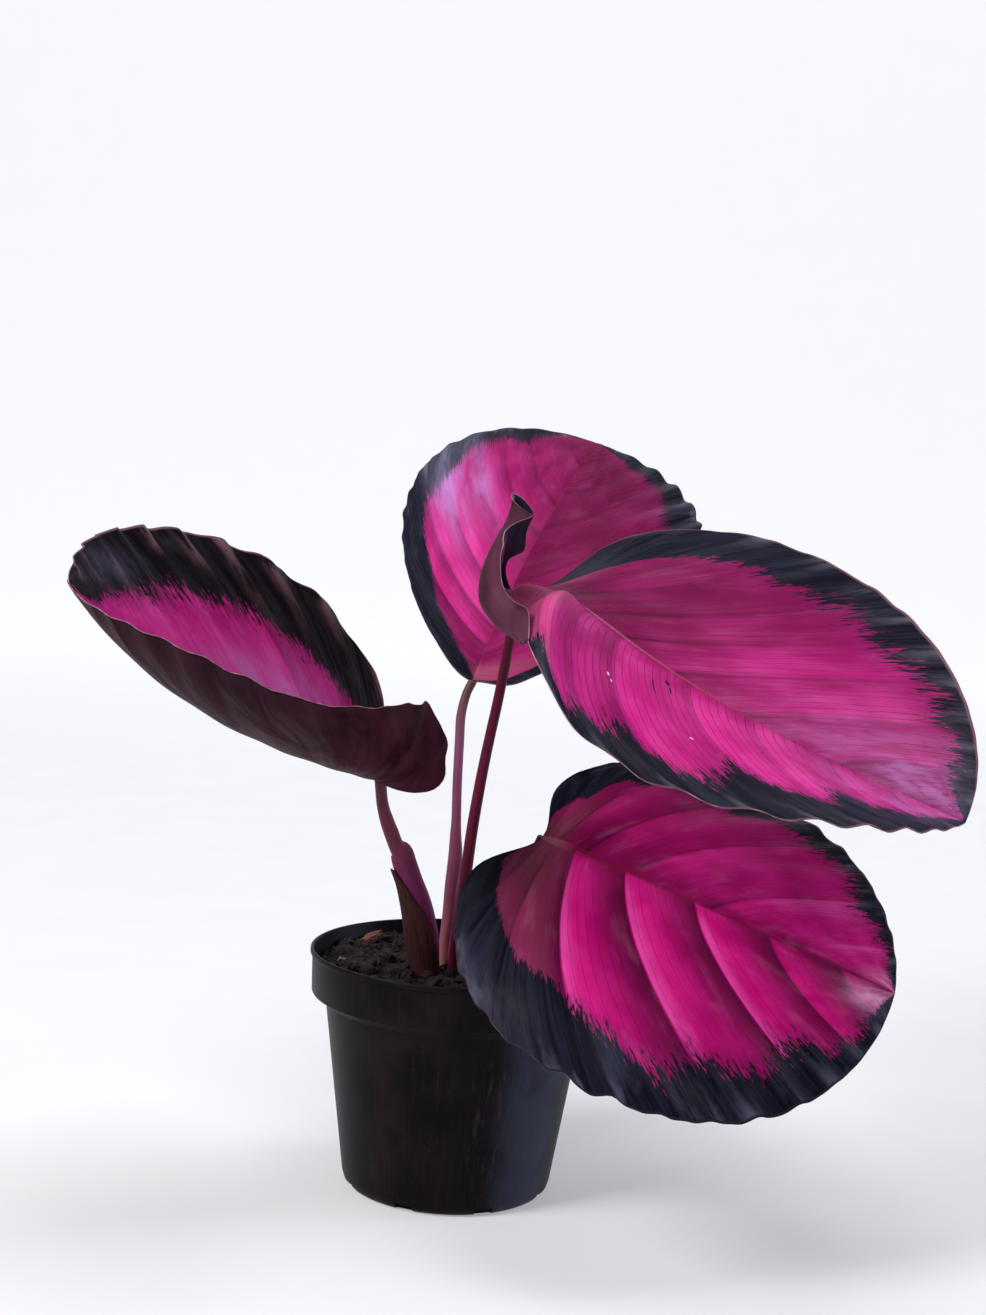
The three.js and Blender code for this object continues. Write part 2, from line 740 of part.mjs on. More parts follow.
const bladeSpaces = {};
for (const [name, leaf] of Object.entries(blades)) {
  const grid = bladeGrid(leaf);
  const blade = toSolid(closedSheet(grid, bladeThickness));
  bladeSpaces[name] = [blade, toSolid(closedSheet(grid, bladeThickness + 2 * gap + 0.1))];
  addPiece(name, blade, leaf.colour, 0.35);
}

let soil = soilSolid();
for (const [name, stalk] of Object.entries(stalks)) {
  let body = toSolid(stalkGeometry(stalk.sections));
  for (const space of bladeSpaces[stalk.blade]) body = largestBody(body.subtract(space));
  addPiece(name, body, stalk.colour, 0.4);
  const clearance = name === bract.around ? 2 * gap + bractThickness + 0.2 : gap;
  soil = soil.subtract(toSolid(stalkGeometry(stalk.sections, clearance)));
}
addPiece("bract_left", toSolid(closedSheet(bractGrid(), bractThickness)), 0x4a2c26, 0.6);

for (const [name, chip] of Object.entries(barkChips)) {
  addPiece(name, toSolid(chipGeometry(chip)), chip.colour, 0.85);
  soil = soil.subtract(toSolid(chipGeometry(chip, gap)));
}
addPiece("soil", largestBody(soil), 0x1c1614, 0.95);

export default plant;
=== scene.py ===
# %% [markdown]
# # A potted crimson calathea
# Four broad leaf blades stand on slim stalks in a black nursery pot of crumbly soil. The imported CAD
# model gives the place and size of every piece. Each piece is made again here with finer form, and
# with a procedural finish.

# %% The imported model
import math

import bpy
import numpy as np
from mathutils import Matrix, Vector


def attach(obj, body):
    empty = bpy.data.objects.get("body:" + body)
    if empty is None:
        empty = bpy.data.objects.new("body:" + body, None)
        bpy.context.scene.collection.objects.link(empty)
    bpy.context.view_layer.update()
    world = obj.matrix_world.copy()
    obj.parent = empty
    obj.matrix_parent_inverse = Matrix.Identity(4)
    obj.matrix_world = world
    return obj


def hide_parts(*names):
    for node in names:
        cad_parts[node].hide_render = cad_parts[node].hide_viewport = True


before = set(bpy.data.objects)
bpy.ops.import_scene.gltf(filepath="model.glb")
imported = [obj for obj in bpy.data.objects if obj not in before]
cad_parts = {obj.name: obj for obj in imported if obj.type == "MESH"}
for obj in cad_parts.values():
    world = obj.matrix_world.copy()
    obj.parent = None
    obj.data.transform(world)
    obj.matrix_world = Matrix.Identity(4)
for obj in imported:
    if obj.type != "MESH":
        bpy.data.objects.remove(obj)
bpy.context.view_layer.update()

# %% [markdown]
# ## Camera
# The photograph looks at the plant nearly level, a little from above, and is slightly tilted. The
# tilt is given to the camera, so that the pot stands upright on its floor.

# %% Camera
camera_data = bpy.data.cameras.new("camera")
camera_data.sensor_width = 36
camera_data.lens = 54.75
camera = bpy.data.objects.new("camera", camera_data)
bpy.context.scene.collection.objects.link(camera)
bpy.context.scene.camera = camera


def camera_turn(pitch_down, yaw_right, roll):
    """The rotation of a camera that looks along +Y, turned by these degrees"""
    pitch, yaw, roll = (math.radians(angle) for angle in (pitch_down, yaw_right, roll))
    look = Vector((math.sin(yaw) * math.cos(pitch), math.cos(yaw) * math.cos(pitch), -math.sin(pitch)))
    level = Vector((math.cos(yaw), -math.sin(yaw), 0))
    above = level.cross(look)
    right = level * math.cos(roll) + above * math.sin(roll)
    up = above * math.cos(roll) - level * math.sin(roll)
    return Matrix((right, up, -look)).transposed()


camera.matrix_world = Matrix.Translation((0, -0.701, 0.251)) @ camera_turn(5, 0.5, 3.4).to_4x4()
print("camera at", tuple(round(v, 3) for v in camera.location))

# %% [markdown]
# ## Room and light
# The photograph has a plain, nearly white background and soft light. A floor that sweeps up behind
# the plant gives one even tone without a horizon. It could be a curved backdrop made of many faces,
# but one plane with its back edge extruded upwards and bevelled is enough.

# %% Floor with a sweep


def select_none():
    """Leave nothing selected, so that the next operator acts on the new piece alone"""
    if bpy.context.mode != "OBJECT":
        bpy.ops.object.mode_set(mode="OBJECT")
    bpy.ops.object.select_all(action="DESELECT")


def edit_where(piece, keep, kind="VERT"):
    """Go to edit mode with the parts of the mesh selected that keep() says"""
    bpy.ops.object.mode_set(mode="OBJECT")
    mesh = piece.data
    for group in (mesh.vertices, mesh.edges, mesh.polygons):
        group.foreach_set("select", [False] * len(group))
    parts = {"VERT": mesh.vertices, "EDGE": mesh.edges, "FACE": mesh.polygons}[kind]
    for part in parts:
        part.select = bool(keep(part))
    bpy.ops.object.mode_set(mode="EDIT")
    bpy.ops.mesh.select_mode(type=kind)


select_none()
bpy.ops.mesh.primitive_plane_add(size=6, location=(0, 1, 0))
floor = bpy.context.object
floor.name = "floor"
edit_where(floor, lambda corner: corner.co.y > 2)
bpy.ops.mesh.extrude_region_move(TRANSFORM_OT_translate={"value": (0, 0, 5)})
edit_where(floor, lambda corner: corner.co.y > 2 and corner.co.z < 1)
bpy.ops.mesh.bevel(offset=1.6, segments=24, affect="EDGES")
bpy.ops.object.mode_set(mode="OBJECT")
bpy.ops.object.transform_apply(location=True, rotation=True, scale=True)
bpy.ops.object.shade_smooth()
print("floor faces", len(floor.data.polygons))

# %% Soft lights


def softbox(name, place, aim, size, power, tint=(1, 1, 1)):
    """A square area light at a place, facing a point"""
    data = bpy.data.lights.new(name, "AREA")
    data.shape = "SQUARE"
    data.size = size
    data.energy = power
    data.color = tint
    light = bpy.data.objects.new(name, data)
    bpy.context.scene.collection.objects.link(light)
    light.location = place
    light.rotation_euler = (Vector(aim) - Vector(place)).to_track_quat("-Z", "Y").to_euler()
    return light


softbox("window_left", (-1.1, -0.75, 1.15), (0, 0, 0.15), 0.6, 32)
softbox("window_right", (1.4, 0.25, 0.5), (0, 0, 0.12), 0.6, 12, (0.7, 0.8, 1))
softbox("overhead", (0.15, -0.25, 1.6), (0, 0, 0.1), 0.7, 16)

world = bpy.data.worlds.new("room")
world.use_nodes = True
world.node_tree.nodes["Background"].inputs["Color"].default_value = (0.93, 0.93, 0.97, 1)
world.node_tree.nodes["Background"].inputs["Strength"].default_value = 0.2
bpy.context.scene.world = world
bpy.context.scene.view_settings.view_transform = "Standard"

# %% [markdown]
# ## Shader arithmetic
# A finish is a tree of nodes, and most of its nodes only add and multiply. A small class that holds
# one output of a node lets them be written as sums.

# %% A wire in a node tree


class Wire:
    """One output of a shader node. Sums and products of wires add Math nodes."""

    def __init__(self, tree, socket):
        self.tree = tree
        self.socket = socket

    def node(self, kind, settings=None, sockets=None, output=0):
        """Add a node: its type, then its settings, then the values or wires of its sockets"""
        node = self.tree.nodes.new(kind)
        for name, value in (settings or {}).items():
            if name != "stops":
                setattr(node, name, value)
                continue
            stops = node.color_ramp.elements
            while len(stops) < len(value):
                stops.new(1)
            for stop, (position, colour) in zip(stops, value):
                stop.position = position
                stop.color = (*colour, 1)
        for name, value in (sockets or {}).items():
            if isinstance(value, Wire):
                self.tree.links.new(value.socket, node.inputs[name])
            else:
                node.inputs[name].default_value = value
        return Wire(self.tree, node.outputs[output])

    def math(self, operation, *values):
        return self.node("ShaderNodeMath", {"operation": operation}, dict(enumerate(values)))

    def __add__(self, other):
        return self.math("ADD", self, other)

    def __radd__(self, other):
        return self.math("ADD", other, self)

    def __sub__(self, other):
        return self.math("SUBTRACT", self, other)

    def __mul__(self, other):
        return self.math("MULTIPLY", self, other)

    def __truediv__(self, other):
        return self.math("DIVIDE", self, other)

    def __pow__(self, other):
        return self.math("POWER", self, other)

    def __abs__(self):
        return self.math("ABSOLUTE", self)

    def rise(self, low, high):
        """0 below low, 1 above high, and smooth between. With low above high it falls instead."""
        down = low > high
        settings = {"interpolation_type": "SMOOTHSTEP"}
        ends = (1, 0) if down else (0, 1)
        sockets = {0: self, 1: min(low, high), 2: max(low, high), 3: ends[0], 4: ends[1]}
        return self.node("ShaderNodeMapRange", settings, sockets)

    def blend(self, below, above):
        """A colour between two, with this wire as the share of the second"""
        below, above = (c if isinstance(c, Wire) else (*c, 1) for c in (below, above))
        return self.node("ShaderNodeMix", {"data_type": "RGBA"}, {0: self, 6: below, 7: above}, 2)


# %% A material


class Finish(Wire):
    """A new material. Its base wire reads nothing, and starts every sum."""

    def __init__(self, name, **uniform):
        self.material = bpy.data.materials.new(name)
        self.material.use_nodes = True
        self.tree = self.material.node_tree
        self.shader = self.tree.nodes["Principled BSDF"]
        self.socket = None
        for socket, value in uniform.items():
            self.shader.inputs[socket.replace("_", " ")].default_value = value

    def where(self):
        """Object coordinates in millimetres"""
        place = self.node("ShaderNodeTexCoord", output=3)
        settings = {"operation": "SCALE"}
        return self.node("ShaderNodeVectorMath", settings, {0: place, 3: 1000})

    def pattern(self):
        """The UV map that keeps a pattern on the surface"""
        return self.node("ShaderNodeUVMap", {"uv_map": "pattern"})

    def parts(self, vector):
        """The three numbers of a vector"""
        split = self.node("ShaderNodeSeparateXYZ", sockets={0: vector})
        outputs = split.socket.node.outputs
        return [Wire(self.tree, outputs[i]) for i in range(3)]

    def point(self, x, y, z=0.0):
        return self.node("ShaderNodeCombineXYZ", sockets={0: x, 1: y, 2: z})

    def noise(self, vector, scale, detail=3.0, rough=0.5, warp=0.0):
        sockets = {"Vector": vector, "Scale": scale, "Detail": detail}
        sockets.update({"Roughness": rough, "Distortion": warp})
        return self.node("ShaderNodeTexNoise", {}, sockets)

    def wear(self, colour=None, roughness=None, height=None, strength=0.5, depth=0.0005):
        """Connect colour, roughness and relief to the shader"""
        for value, socket in ((colour, "Base Color"), (roughness, "Roughness")):
            if value is not None:
                self.tree.links.new(value.socket, self.shader.inputs[socket])
        if height is not None:
            sockets = {"Strength": strength, "Distance": depth, "Height": height}
            bump = self.node("ShaderNodeBump", {}, sockets)
            self.tree.links.new(bump.socket, self.shader.inputs["Normal"])
        return self.material


# %% Floor finish
pale = Finish("floor_paper", Roughness=0.9, Specular_IOR_Level=0.1, Emission_Strength=1)
fibre = pale.noise(pale.where(), 0.02, 2)
pale.wear(fibre.blend((0.38, 0.38, 0.385), (0.42, 0.42, 0.425)))
back = pale.parts(pale.where())[1]
glow = back.rise(-500, 2300).blend((0.28, 0.28, 0.295), (0.75, 0.76, 0.8))
pale.tree.links.new(glow.socket, pale.shader.inputs["Emission Color"])
floor.data.materials.append(pale.material)

# %% [markdown]
# ## The leaf blades
# A blade is a thin sheet with an outline, a fold along its midrib, pleats along its veins and a curl
# of its own. It could be sculpted, or cut from a plane and bent point by point, but four blades that
# match a photograph are easier to get right from a rule: a flat outline, carried along a bent midrib.
# Edit mode's operators can't follow such a rule, so a grid primitive is added and its corners are
# placed in code. Solidify then makes the sheet a body with an upper face, an under face and an edge.
#
# The blades have the values of the CAD source, with finer ones where they need more detail than a
# faceted solid has: the ripples of the margins, the front blade's waves, and the veins, pleats and
# rolled margin of the right blade's near half. Left and right are as seen along the midrib from the
# stalk to the tip, and a pair holds the left half's value first. Three values in a row hold at the
# attachment, halfway and at the tip.

# %% Shapes of the four blades
LEFT, RIGHT = 0, 1
thickness = 0.8
blades = {
    "blade_left": {
        "attachment": (-30, -25, 148),
        "length": 142,
        "half_width": (61, 61),
        "fullness": 0.85,
        "lobe": (20, 2.5),
        "notch": (0.1, 0.1),
        "skew": 0,
        "ripple": 0.004,
        "veins": ((0.62, 0), (0.62, 0)),
        "heading": (210.5, 22),
        "rise": (14, 19, 14.5, 0),
        "roll": (-34.5, -10),
        "fold": ((25.5, 21, 7), (36, 25.5, 10)),
        "curl": ((123, 58, 93), (11, 11, 10)),
        "pulls": [
            (LEFT, 0.285, 0.032, 4, (-1.5, 0, 4.5)),
            (LEFT, 0.345, 0.04, 4, (0, 0, 1.2)),
            (LEFT, 0.09, 0.055, 1, (0.5, 0, -3.4)),
            (LEFT, 0.16, 0.03, 2, (-2, 0, 0)),
        ],
        "pleats": (
            (0.5, (0.14, 0.3, 0.45, 0.6, 0.76, 0.9), 0.0),
            (0.7, (0.2, 0.35, 0.5, 0.65, 0.78, 0.9), 0.3),
        ),
        "waves": (10, 0, (0.4, 1.9)),
    },
    "blade_top": {
        "attachment": (-0.5, 14.5, 179.5),
        "length": 154,
        "half_width": (55, 55.5),
        "fullness": 0.85,
        "lobe": (-7, 9.5),
        "notch": (0.1, 0.1),
        "skew": -0.24,
        "ripple": 0.006,
        "veins": ((0.62, 0), (0.62, 0)),
        "heading": (65.5, 4),
        "rise": (52, -37, 7.5, 0),
        "roll": (12.5, 2.5),
        "fold": ((21, 8.5, 3), (18.5, 7.5, -1)),
        "curl": ((-7.5, -13.5, -10.5), (4, -7.5, -18.5)),
        "pulls": [],
        "pleats": (
            (1.7, (0.13, 0.265, 0.345, 0.445, 0.575, 0.66, 0.76, 0.9), 0.5),
            (1.1, (0.2, 0.35, 0.5, 0.68, 0.8, 0.92), 0.0),
        ),
        "waves": (9, 90, (0.3, 1.2)),
    },
    "blade_right": {
        "attachment": (16, -9.5, 214),
        "length": 175.5,
        "half_width": (73.5, 68.5),
        "fullness": 0.85,
        "lobe": (4.5, 4),
        "notch": (0.09, 0.1),
        "skew": 0.32,
        "ripple": 0.002,
        "veins": ((0.62, 0), (1.03, 0.3)),
        "heading": (-35.5, 1),
        "rise": (-24, 10.5, -1, 44),
        "roll": (-2, 28),
        "fold": ((4, 21.5, 53), (35, 14.5, 17)),
        "curl": ((50, 11, -25), (12, -25.5, 9.5)),
        "pulls": [],
        "pleats": (
            (1.2, (0.21, 0.33, 0.44, 0.56, 0.695, 0.835, 0.93), 0.3),
            (0.9, (0.21, 0.31, 0.41, 0.58, 0.7, 0.82, 0.91), 0.6),
        ),
        "waves": (11, 0, (0.5, 1)),
    },
    "blade_front": {
        "attachment": (26, -33, 132.5),
        "length": 127.5,
        "half_width": (74, 82.5),
        "fullness": 0.95,
        "lobe": (10.5, 15),
        "notch": (0.056, 0.057),
        "skew": 0.14,
        "ripple": 0.009,
        "veins": ((0.62, 0), (0.62, 0)),
        "heading": (-26.5, 24),
        "rise": (-12, -19.5, 11.5, 0),
        "roll": (30, 7.5),
        "fold": ((6.5, -0.5, -2), (9.5, 2.5, -13.5)),
        "curl": ((-22.5, -19.5, 9.5), (-30, -17.5, -39)),
        "pulls": [],
        "pleats": (
            (1.1, (0.12, 0.28, 0.45, 0.65, 0.82, 0.93), 0.0),
            (2.2, (0.1, 0.235, 0.43, 0.615, 0.775, 0.905), 0.7),
        ),
        "waves": (10, 200, (0.6, 0.7)),
    },
}
print("blades", ", ".join(blades))

# %% [markdown]
# The right blade's near lobe is rolled up over its stalk like an ear. Each of its veins runs from
# the midrib through the lobe's narrow neck and over the crest of the roll to the margin. The three
# curves run from the attachment, round the lobe's tip, to where the blade lies flat.

# %% The rolled lobe
lobe_until, lobe_blend = 0.37, 0.25
lobe_neck = [
    (16, -9.5, 214), (14.4, -10.2, 212.8), (12.7, -10.5, 211.7), (11, -11, 211.6),
    (9.9, -11.5, 212.6), (8.8, -12, 213.9), (8, -13, 215.3), (7.2, -14, 216.4),
    (6.9, -15, 216.7), (6.2, -16, 216.8), (5.8, -17, 216.4), (5.2, -18, 215.8),
    (4.9, -20, 214.5), (5.4, -23, 212.3), (6.9, -27, 209.6), (10, -34, 206.8), (13.6, -45, 205.1),
]
lobe_crest = [
    (16, -9.5, 214), (12.7, -10.5, 212.4), (10.2, -11, 214.3), (7.9, -12, 217.7),
    (6.9, -13, 221.8), (6.3, -15, 226.3), (7.3, -18, 231.6), (8.6, -22, 238.6),
    (9.6, -26, 243.4), (8.7, -28, 241.1), (7.2, -31, 237.3), (4.7, -34, 231.6),
    (1.7, -38, 225.2), (0, -44, 217.8), (1.1, -52, 211.1), (7.3, -62, 204.7), (13.9, -76, 201.4),
]
lobe_margin = [
    (16, -9.5, 214), (13.4, -11.2, 214.2), (11.2, -12, 213.7), (9.9, -12.7, 216.1),
    (8.9, -13.4, 219.1), (8.5, -14, 221.7), (8.8, -14.5, 224.1), (9.7, -15.2, 226.5),
    (11.7, -16, 227.5), (14.3, -16.9, 228.2), (14.8, -17.8, 231.3), (14.8, -19.1, 234.3),
    (15.5, -20.6, 237.2), (16.8, -23.1, 240.9),
    (14.7, -25.8, 244.3), (11.9, -27.4, 246.7), (9.3, -28.5, 247.6), (9.2, -29.5, 245.8),
    (11.7, -30.5, 243.4), (14, -31.5, 242.1), (16.3, -33, 240.6), (11.1, -36, 238.2),
    (7.6, -39, 235.6), (6.8, -41.6, 232.8), (6.9, -44.1, 230.5), (6.2, -48.4, 227.1),
    (6.6, -54, 221.3), (7.5, -58.5, 217.9), (9.3, -63, 215.3), (11.9, -67.5, 213.3),
    (15.3, -72, 211.9), (16.1, -80, 207.8), (15.9, -88, 203.1),
]

# %% Curves through points


def smooth_curve(points, t):
    """Points at shares t of a smooth curve through the given ones. Both may be arrays."""
    points = np.asarray(points, float)
    last = len(points) - 1
    ends = np.concatenate([[2 * points[0] - points[1]], points, [2 * points[-1] - points[-2]]])
    place = np.clip(np.asarray(t, float), 0, 1) * last
    i = np.minimum(np.floor(place).astype(int), last - 1)
    w = (place - i).reshape(place.shape + (1,) * (points.ndim - 1))
    before, a, b, after = (ends[i + k] for k in range(4))
    start, end = 0.5 * (b - before), 0.5 * (after - a)
    cubic = 2 * a - 2 * b + start + end
    square = 3 * b - 3 * a - 2 * start - end
    return a + start * w + square * w**2 + cubic * w**3


def through(values, s):
    """The value at a share s of the length, from those at the attachment, halfway and at the tip"""
    base, middle, tip = values
    return base * (1 - s) * (1 - 2 * s) + middle * 4 * s * (1 - s) + tip * s * (2 * s - 1)


# %% Directions along a midrib


def blade_frame(leaf, s):
    """The blade's own directions at shares s of its length: along, to the left, and up"""
    heading = np.radians(leaf["heading"][0] + leaf["heading"][1] * s)
    start, bend, bow, arch = leaf["rise"]
    arching = arch * (1 - s / 0.12) * np.exp(-s / 0.12)
    rise = np.radians(start + bend * s + bow * s * s + arching)
    roll = np.radians(leaf["roll"][0] + leaf["roll"][1] * s)[..., None]
    flat = np.cos(rise)
    along = np.stack([flat * np.cos(heading), flat * np.sin(heading), np.sin(rise)], -1)
    level = np.stack([-np.sin(heading), np.cos(heading), 0 * s], -1)
    upright = np.cross(along, level)
    left = level * np.cos(roll) + upright * np.sin(roll)
    up = upright * np.cos(roll) - level * np.sin(roll)
    return along, left, up


def midrib(leaf, s):
    """Points of the midrib, from the attachment to a little past the tip"""
    shares = np.linspace(0, 1.05, 43)
    along = blade_frame(leaf, shares)[0]
    steps = (along[:-1] + along[1:]) * (1.05 / 42 * leaf["length"] / 2)
    points = np.concatenate([[[0, 0, 0]], np.cumsum(steps, 0)]) + leaf["attachment"]
    place = [np.interp(s, shares, points[:, axis]) for axis in range(3)]
    overhang = np.minimum(s, 0) * leaf["length"]
    return np.stack(place, -1) + overhang[..., None] * along[0]


# %% A point of a blade


def vein_start(u, spread=0.0):
    """Where a vein leaves the midrib. spread moves the veins past the lobe on towards the tip."""
    past = np.clip((u - 0.33) / 0.67, 0, 1)
    return 0.08 * u + 0.92 * u**4 + spread * past * (1 - past)


def flat_point(leaf, side, u, v):
    """A point of the flat blade. u runs round the margin to the tip, v from midrib to margin."""
    lobe = leaf["lobe"][side]
    turn = np.pi * u
    reach = (leaf["length"] + lobe) / 2
    width = leaf["half_width"][side] * np.abs(np.sin(turn)) ** leaf["fullness"]
    beyond_notch = 1 - np.exp(-((u / leaf["notch"][side]) ** 2))
    edge_x = reach * (1 - np.cos(turn)) - lobe * beyond_notch
    edge_y = width * (1 + leaf["skew"] * np.cos(turn))
    bulge, spread = leaf["veins"][side]
    past = np.clip((u - 0.36) / 0.16, 0, 1)
    bulge = 0.62 + (bulge - 0.62) * past * past * (3 - 2 * past)
    start_x = leaf["length"] * vein_start(u, spread)
    bend = 2 * v * (1 - v)
    middle_x = start_x + 0.25 * (edge_x - start_x)
    x = (1 - v) ** 2 * start_x + bend * middle_x + v * v * edge_x
    y = bend * bulge * edge_y + v * v * edge_y
    nicks = np.sin(101 * u + 2) + 0.7 * np.sin(163 * u + leaf["length"]) * np.sin(37 * u + 1)
    y = y * (1 + leaf["ripple"] * v**10 * nicks * np.minimum(1, 9 * (1 - u)))
    return x, y, (0.62 * start_x + 0.38 * edge_x) / leaf["length"]


def across_pleat(leaf, side, vein):
    """How far across its pleat a vein lies, from 0 to 1, and the pleat's width"""
    ends = np.array([0, *leaf["pleats"][side][1], 1])
    k = np.clip(np.searchsorted(ends, vein, side="right") - 1, 0, len(ends) - 2)
    width = ends[k + 1] - ends[k]
    return np.clip((vein - ends[k]) / width, 0, 1), width


# %% Pleats, waves and folds


def swelling(leaf, side, vein, v):
    """Height above the flat blade: round pleats between creases, and waves towards the margin"""
    f, width = across_pleat(leaf, side, vein)
    sharp = leaf["pleats"][side][2]
    arch = sharp * 4 * f * (1 - f) + (1 - sharp) * (0.5 - 0.5 * np.cos(2 * np.pi * f))
    pleat = leaf["pleats"][side][0] * (width / 0.2) * (arch - 0.6)
    count, phase, wave = leaf["waves"]
    waves = wave[side] * v**3 * np.sin(2 * np.pi * count * vein + np.radians(phase))
    return pleat * np.minimum(1, 6 * v) * (1 - v**4) + waves


def blade_point(leaf, side, u, v):
    """The same point folded, curled, pleated and carried along the midrib, and its vein's place"""
    x, y, vein = flat_point(leaf, side, u, v)
    s = x / leaf["length"]
    held = np.clip(s, -0.25, 1.05)
    _, left, up = blade_frame(leaf, np.clip(s, 0, 1.05))
    fold = np.radians(through(leaf["fold"][side], held))
    curl = np.radians(through(leaf["curl"][side], held))
    radius = leaf["half_width"][side] / np.where(np.abs(curl) < 1e-3, 1e-3, curl)
    angle = fold + y / radius
    fade = np.minimum(1, np.minimum(8 * u, 7 * (1 - u)))
    lift = swelling(leaf, side, vein, v) * fade
    outward = radius * (np.sin(angle) - np.sin(fold)) - lift * np.sin(angle)
    upward = radius * (np.cos(fold) - np.cos(angle)) + lift * np.cos(angle)
    sign = 1 if side == LEFT else -1
    point = midrib(leaf, s) + left * (sign * outward)[..., None] + up * upward[..., None]
    for pull_side, at, width, power, shift in leaf["pulls"]:
        if pull_side == side:
            near = np.exp(-(((u - at) / width) ** 2)) * np.minimum(1, 20 * u) * v**power
            point = point + near[..., None] * np.array(shift)
    return point, vein


def roll_lobe(leaf, point, u, v):
    """The right blade's rolled lobe, fading into the flat blade"""
    t = u / lobe_until
    eased = np.clip((t - 1) / lobe_blend, 0, 1)
    weight = (1 - eased * eased * (3 - 2 * eased)) * np.minimum(6 * v, 1)
    rails = [smooth_curve(rail, np.minimum(t, 1)) for rail in (lobe_neck, lobe_crest, lobe_margin)]
    rolled = np.empty_like(point)
    for i in range(len(u)):
        rolled[i] = smooth_curve([point[i, 0], *(rail[i, 0] for rail in rails)], v[i])
    return point + weight[..., None] * (rolled - point)


# %% Rows of veins
across = np.concatenate([[0, 0.006, 0.014, 0.025], np.linspace(0.042, 0.97, 36), [0.985, 1]])


def vein_rows(leaf, count, begin=0.0):
    """Margin places u of rows that are even along both the margin and the midrib"""
    u = np.linspace(begin, 1, 4001)
    vein = flat_point(leaf, LEFT, u, np.ones_like(u))[2]
    pace = np.maximum.accumulate((u + np.maximum(0, vein)) / 2)
    wanted = np.linspace(pace[0], pace[-1], count + 1)
    return np.interp(wanted, pace, u)


def blade_grid(name, leaf):
    """Points, margin place u, signed vein share v and vein place of every corner of a blade"""
    if name == "blade_right":
        lobe_rows = np.linspace(0, lobe_until, 129)[:-1]
        rows = np.concatenate([lobe_rows, vein_rows(leaf, 120, lobe_until)])
    else:
        rows = vein_rows(leaf, 170)
    u, v = np.meshgrid(rows, across, indexing="ij")
    left, vein = blade_point(leaf, LEFT, u, v)
    table = np.linspace(0, 1, 4001)
    opposite = np.interp(vein_start(u), vein_start(table, leaf["veins"][RIGHT][1]), table)
    right, vein_right = blade_point(leaf, RIGHT, opposite, v)
    if name == "blade_right":
        right = roll_lobe(leaf, right, opposite, v)
    points = np.concatenate([left[:, :0:-1], right], 1)
    shares = np.concatenate([v[:, :0:-1], -v], 1)
    veins = np.concatenate([vein[:, :0:-1], vein_right], 1)
    return points, np.concatenate([u[:, :0:-1], opposite], 1), shares, veins


grids = {name: blade_grid(name, leaf) for name, leaf in blades.items()}
print("corners in each blade", {name: grid[0].shape[:2] for name, grid in grids.items()})

# %% [markdown]
# ## From a grid of points to a piece
# Blades, stalks and the bract all start as a grid primitive. Each corner knows its row and column
# from where the primitive puts it, so it can be sent to its place. Its UV map keeps a pattern on
# the surface.

# %% A grid primitive with placed corners


def grid_piece(name, points, pattern):
    """A grid primitive with its corners at points (rows, columns, 3) in millimetres. pattern gives
    the UV map's two values at each corner."""
    rows, columns = points.shape[:2]
    select_none()
    bpy.ops.mesh.primitive_grid_add(x_subdivisions=columns - 1, y_subdivisions=rows - 1, size=2)
    piece = bpy.context.object
    piece.name = piece.data.name = name
    mesh = piece.data
    flat = np.empty(len(mesh.vertices) * 3)
    mesh.vertices.foreach_get("co", flat)
    flat = flat.reshape(-1, 3)
    column = np.rint((flat[:, 0] + 1) / 2 * (columns - 1)).astype(int)
    row = np.rint((flat[:, 1] + 1) / 2 * (rows - 1)).astype(int)
    mesh.vertices.foreach_set("co", (points[row, column] / 1000).ravel())
    corners = np.empty(len(mesh.loops), int)
    mesh.loops.foreach_get("vertex_index", corners)
    mesh.uv_layers[0].name = "pattern"
    uv = pattern[row[corners], column[corners]]
    mesh.uv_layers[0].uv.foreach_set("vector", uv.astype(np.float32).ravel())
    mesh.update()
    return piece, (row, column)


# %% Steps that the pieces share


def apply_modifiers(piece):
    """Turn all the modifiers of a piece into mesh"""
    bpy.context.view_layer.objects.active = piece
    for modifier in list(piece.modifiers):
        bpy.ops.object.modifier_apply(modifier=modifier.name)


def merge_doubles(piece):
    """Join the corners that share a place"""
    edit_where(piece, lambda corner: True)
    bpy.ops.mesh.remove_doubles(threshold=1e-6)
    bpy.ops.object.mode_set(mode="OBJECT")


def face_outward(piece):
    """Turn every face of a closed piece to the outside"""
    edit_where(piece, lambda corner: True)
    bpy.ops.mesh.normals_make_consistent(inside=False)
    bpy.ops.object.mode_set(mode="OBJECT")


def paint(piece, material):
    """Give a piece one material alone"""
    piece.data.materials.clear()
    piece.data.materials.append(material)


def settle(piece, node):
    """Finish a piece: it rides on the body and stands for its node, whose CAD part it hides"""
    bpy.ops.object.mode_set(mode="OBJECT")
    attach(piece, "root")
    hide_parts(node)
    print(node, "triangles", sum(len(face.vertices) - 2 for face in piece.data.polygons))


# %% [markdown]
# The dark margin band starts at a share of each vein that changes along the blade, and it steps in
# and out with the pleats. Evenly spaced values from the attachment to the tip give it on each half,
# and each corner stores how far beyond it lies.

